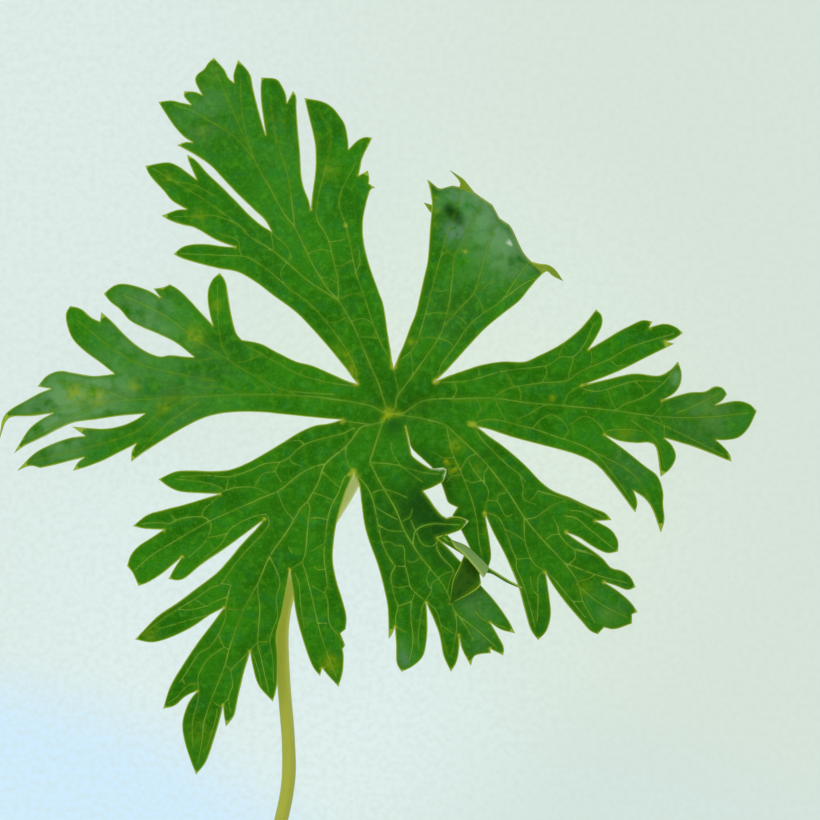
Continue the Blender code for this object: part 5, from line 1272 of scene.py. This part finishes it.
def petioleMaterial():
    # Fleshy stalk tissue: slow patches and fine streaks along it, and light that passes a little way in
    look = petioleLook
    material, tree, shader = newMaterial("ribbed petiole")
    place = addNode(tree, "ShaderNodeTexCoord").outputs["Object"]
    flat = addNode(tree, "ShaderNodeAttribute", attribute_name="flat").outputs["Vector"]
    cut = addNode(tree, "ShaderNodeAttribute", attribute_name="cut").outputs["Fac"]
    patch = addNode(tree, "ShaderNodeTexNoise", {"Vector": place, "Scale": 1 / (look["patchSize"] * mm),
                                                 "Detail": look["patchDetail"]})
    long = addNode(tree, "ShaderNodeMapping", {"Vector": flat, "Scale": look["streaks"]}).outputs["Vector"]
    streak = addNode(tree, "ShaderNodeTexNoise", {"Vector": long, "Scale": look["streakScale"],
                                                  "Detail": look["streakDetail"]}).outputs[0]
    length = addNode(tree, "ShaderNodeSeparateXYZ", {"Vector": flat}).outputs["Y"]
    # Painted light: the stalk is painted paler towards the blade, against the blade's shadow on it
    low, high = look["topFade"]
    top = addNode(tree, "ShaderNodeMapRange", {"Value": length, "From Min": low, "From Max": high}).outputs[0]
    colour = linear(look["base"])
    for paint, mask in (("patch", patch.outputs[0]), ("streak", streak), ("top", top), ("cut", cut)):
        colour = addNode(tree, "ShaderNodeMix", {0: mask, 6: colour, 7: linear(look[paint])},
                         data_type="RGBA").outputs[2]
    tree.links.new(colour, shader.inputs["Base Color"])
    shader.inputs["Roughness"].default_value = look["rough"]
    shader.inputs["Specular IOR Level"].default_value = look["gloss"]
    # short hairs too fine to model make its outline paler
    shader.inputs["Sheen Weight"].default_value = look["fuzz"]
    # painted light: the stretch beneath the blade glows a little, lifting the blade's shadow on it
    low, high = look["shade"]
    shade = addNode(tree, "ShaderNodeMapRange", {"Value": length, "From Min": low, "From Max": high,
                                                 "To Max": look["shadeGlow"]}).outputs[0]
    tree.links.new(colour, shader.inputs["Emission Color"])
    tree.links.new(shade, shader.inputs["Emission Strength"])
    shader.inputs["Subsurface Weight"].default_value = look["through"]
    shader.inputs["Subsurface Radius"].default_value = look["throughReach"]
    shader.inputs["Subsurface Scale"].default_value = look["throughScale"] * mm
    strength, height = look["bump"]
    bump = addNode(tree, "ShaderNodeBump", {"Height": streak, "Strength": strength, "Distance": height * mm})
    tree.links.new(bump.outputs["Normal"], shader.inputs["Normal"])
    return material


# The camera looks straight down from far above, so that the frame's 820 pixels are 114.8 mm at the leaf. The
# floor is lit partly from within, which keeps the leaf's shadows as faint as in the photo.
stage = dict(
    frameWidth=114.8, aim=(3.08, 0.42),  # millimetres across the frame, and its middle from the junction
    height=4.0, distance=3000.0, sensor=36.0,
    floorSize=3.0, floorColour="#d7e4d9", floorRough=0.9, floorGloss=0.1, glow=0.965,
    grain=0.9, grainDetail=2.0, grainFade=(0.4, 0.7), grainColour="#d0ddd2", grainAmount=0.38,
    # soft round tints in it, in millimetres: the middle, where the tint begins and is full, its colour
    # the third and fourth are painted light round the leaf, which lifts its shadow on the paper; the last is
    # a painted pool of bluish light
    tints=[((-250, 40), 295, 205, "#ddece8"), ((0, -160), 150, 130, "#d4e4df"), ((8, 14), 55, 12, "#dfeee1"),
           ((-16, -18), 50, 12, "#dff0ef"), ((-70, -105), 95.6, 81.6, "#d0edff")],
    world=("#f8fbff", 0.62),
    # softboxes: place in metres, power, colour
    softboxes=dict(window=((-0.35, 0.45, 0.8), 4.8, "#fbffff"), fill=((0.5, -0.3, 0.9), 1.8, "#fff9ee")),
    softboxSize=0.9,
)


def addCamera():
    # The focal length is the sensor's width times the distance over the width that the frame shows
    data = bpy.data.cameras.new("camera")
    data.sensor_width = stage["sensor"]
    data.lens = stage["sensor"] * stage["distance"] / stage["frameWidth"]
    camera = addObject("camera", data)
    x, y = (stage["aim"][k] + blade["junction"][k] for k in (0, 1))
    camera.location = (x * mm, y * mm, (stage["height"] + stage["distance"]) * mm)
    bpy.context.scene.camera = camera


def addSoftbox(name, place, power, colour):
    # A large square lamp that faces the leaf
    data = bpy.data.lights.new(name, "AREA")
    data.size, data.energy, data.color = stage["softboxSize"], power, linear(colour)[:3]
    lamp = addObject(name, data)
    lamp.location = place
    lamp.rotation_euler = (-lamp.location).to_track_quat("-Z", "Y").to_euler()


def paperMaterial():
    # Matt, finely mottled paper whose colour drifts across the floor, with painted light round the leaf and a
    # painted pool of bluish light
    material, tree, shader = newMaterial("matt pale paper")
    place = addNode(tree, "ShaderNodeTexCoord").outputs["Object"]
    colour = linear(stage["floorColour"])
    for (x, y), begin, full, tint in stage["tints"]:
        away = addNode(tree, "ShaderNodeVectorMath", {0: place, 1: (x * mm, y * mm, 0)}, operation="DISTANCE")
        mask = addNode(tree, "ShaderNodeMapRange", {"Value": away.outputs["Value"], "From Min": begin * mm,
                                                    "From Max": full * mm}, interpolation_type="SMOOTHSTEP")
        colour = addNode(tree, "ShaderNodeMix", {0: mask.outputs[0], 6: colour, 7: linear(tint)},
                         data_type="RGBA").outputs[2]
    grain = addNode(tree, "ShaderNodeTexNoise", {"Vector": place, "Scale": 1 / (stage["grain"] * mm),
                                                 "Detail": stage["grainDetail"]})
    low, high = stage["grainFade"]
    mask = addNode(tree, "ShaderNodeMapRange", {"Value": grain.outputs[0], "From Min": low, "From Max": high,
                                                "To Max": stage["grainAmount"]}).outputs[0]
    colour = addNode(tree, "ShaderNodeMix", {0: mask, 6: colour, 7: linear(stage["grainColour"])},
                     data_type="RGBA").outputs[2]
    dim = addNode(tree, "ShaderNodeMix", {0: stage["glow"], 6: colour, 7: (0, 0, 0, 1)},
                  data_type="RGBA").outputs[2]
    tree.links.new(dim, shader.inputs["Base Color"])
    tree.links.new(colour, shader.inputs["Emission Color"])
    shader.inputs["Emission Strength"].default_value = stage["glow"]
    shader.inputs["Roughness"].default_value = stage["floorRough"]
    shader.inputs["Specular IOR Level"].default_value = stage["floorGloss"]
    return material


def addStage():
    # The paper, the daylight from all round and the two softboxes
    bpy.ops.mesh.primitive_plane_add(size=stage["floorSize"])
    floor = bpy.context.object
    floor.name = "floor"
    floor.data.materials.append(paperMaterial())
    colour, strength = stage["world"]
    world = bpy.data.worlds.new("soft daylight")
    world.use_nodes = True
    world.node_tree.nodes["Background"].inputs["Color"].default_value = linear(colour)
    world.node_tree.nodes["Background"].inputs["Strength"].default_value = strength
    bpy.context.scene.world = world
    for name, (place, power, colour) in stage["softboxes"].items():
        addSoftbox(name, place, power, colour)
    bpy.context.scene.view_settings.view_transform = "Standard"


draw = np.random.default_rng(7)
palm = palmStretches()
sheets = [makeLobe(name, palm, draw) for name in lobes] + makeTwist() + makeEndTeeth()
print("lobes:", {name: len(sheet["faces"]) for name, sheet in zip(lobes, sheets)})
leafMesh = thicken(joinSheets(sheets))
print("blade triangles:", len(leafMesh.polygons))
upper, under = leafMaterial("leaf upper face", upperLook), leafMaterial("leaf underside", lowerLook)
bladePiece = addPiece("blade", leafMesh, [upper, under])
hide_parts("leaf_blade")
stalkPiece = addPiece("stalk", makePetiole(), [petioleMaterial()])
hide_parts("petiole")
print("petiole faces:", len(stalkPiece.data.polygons))

addStage()
addCamera()
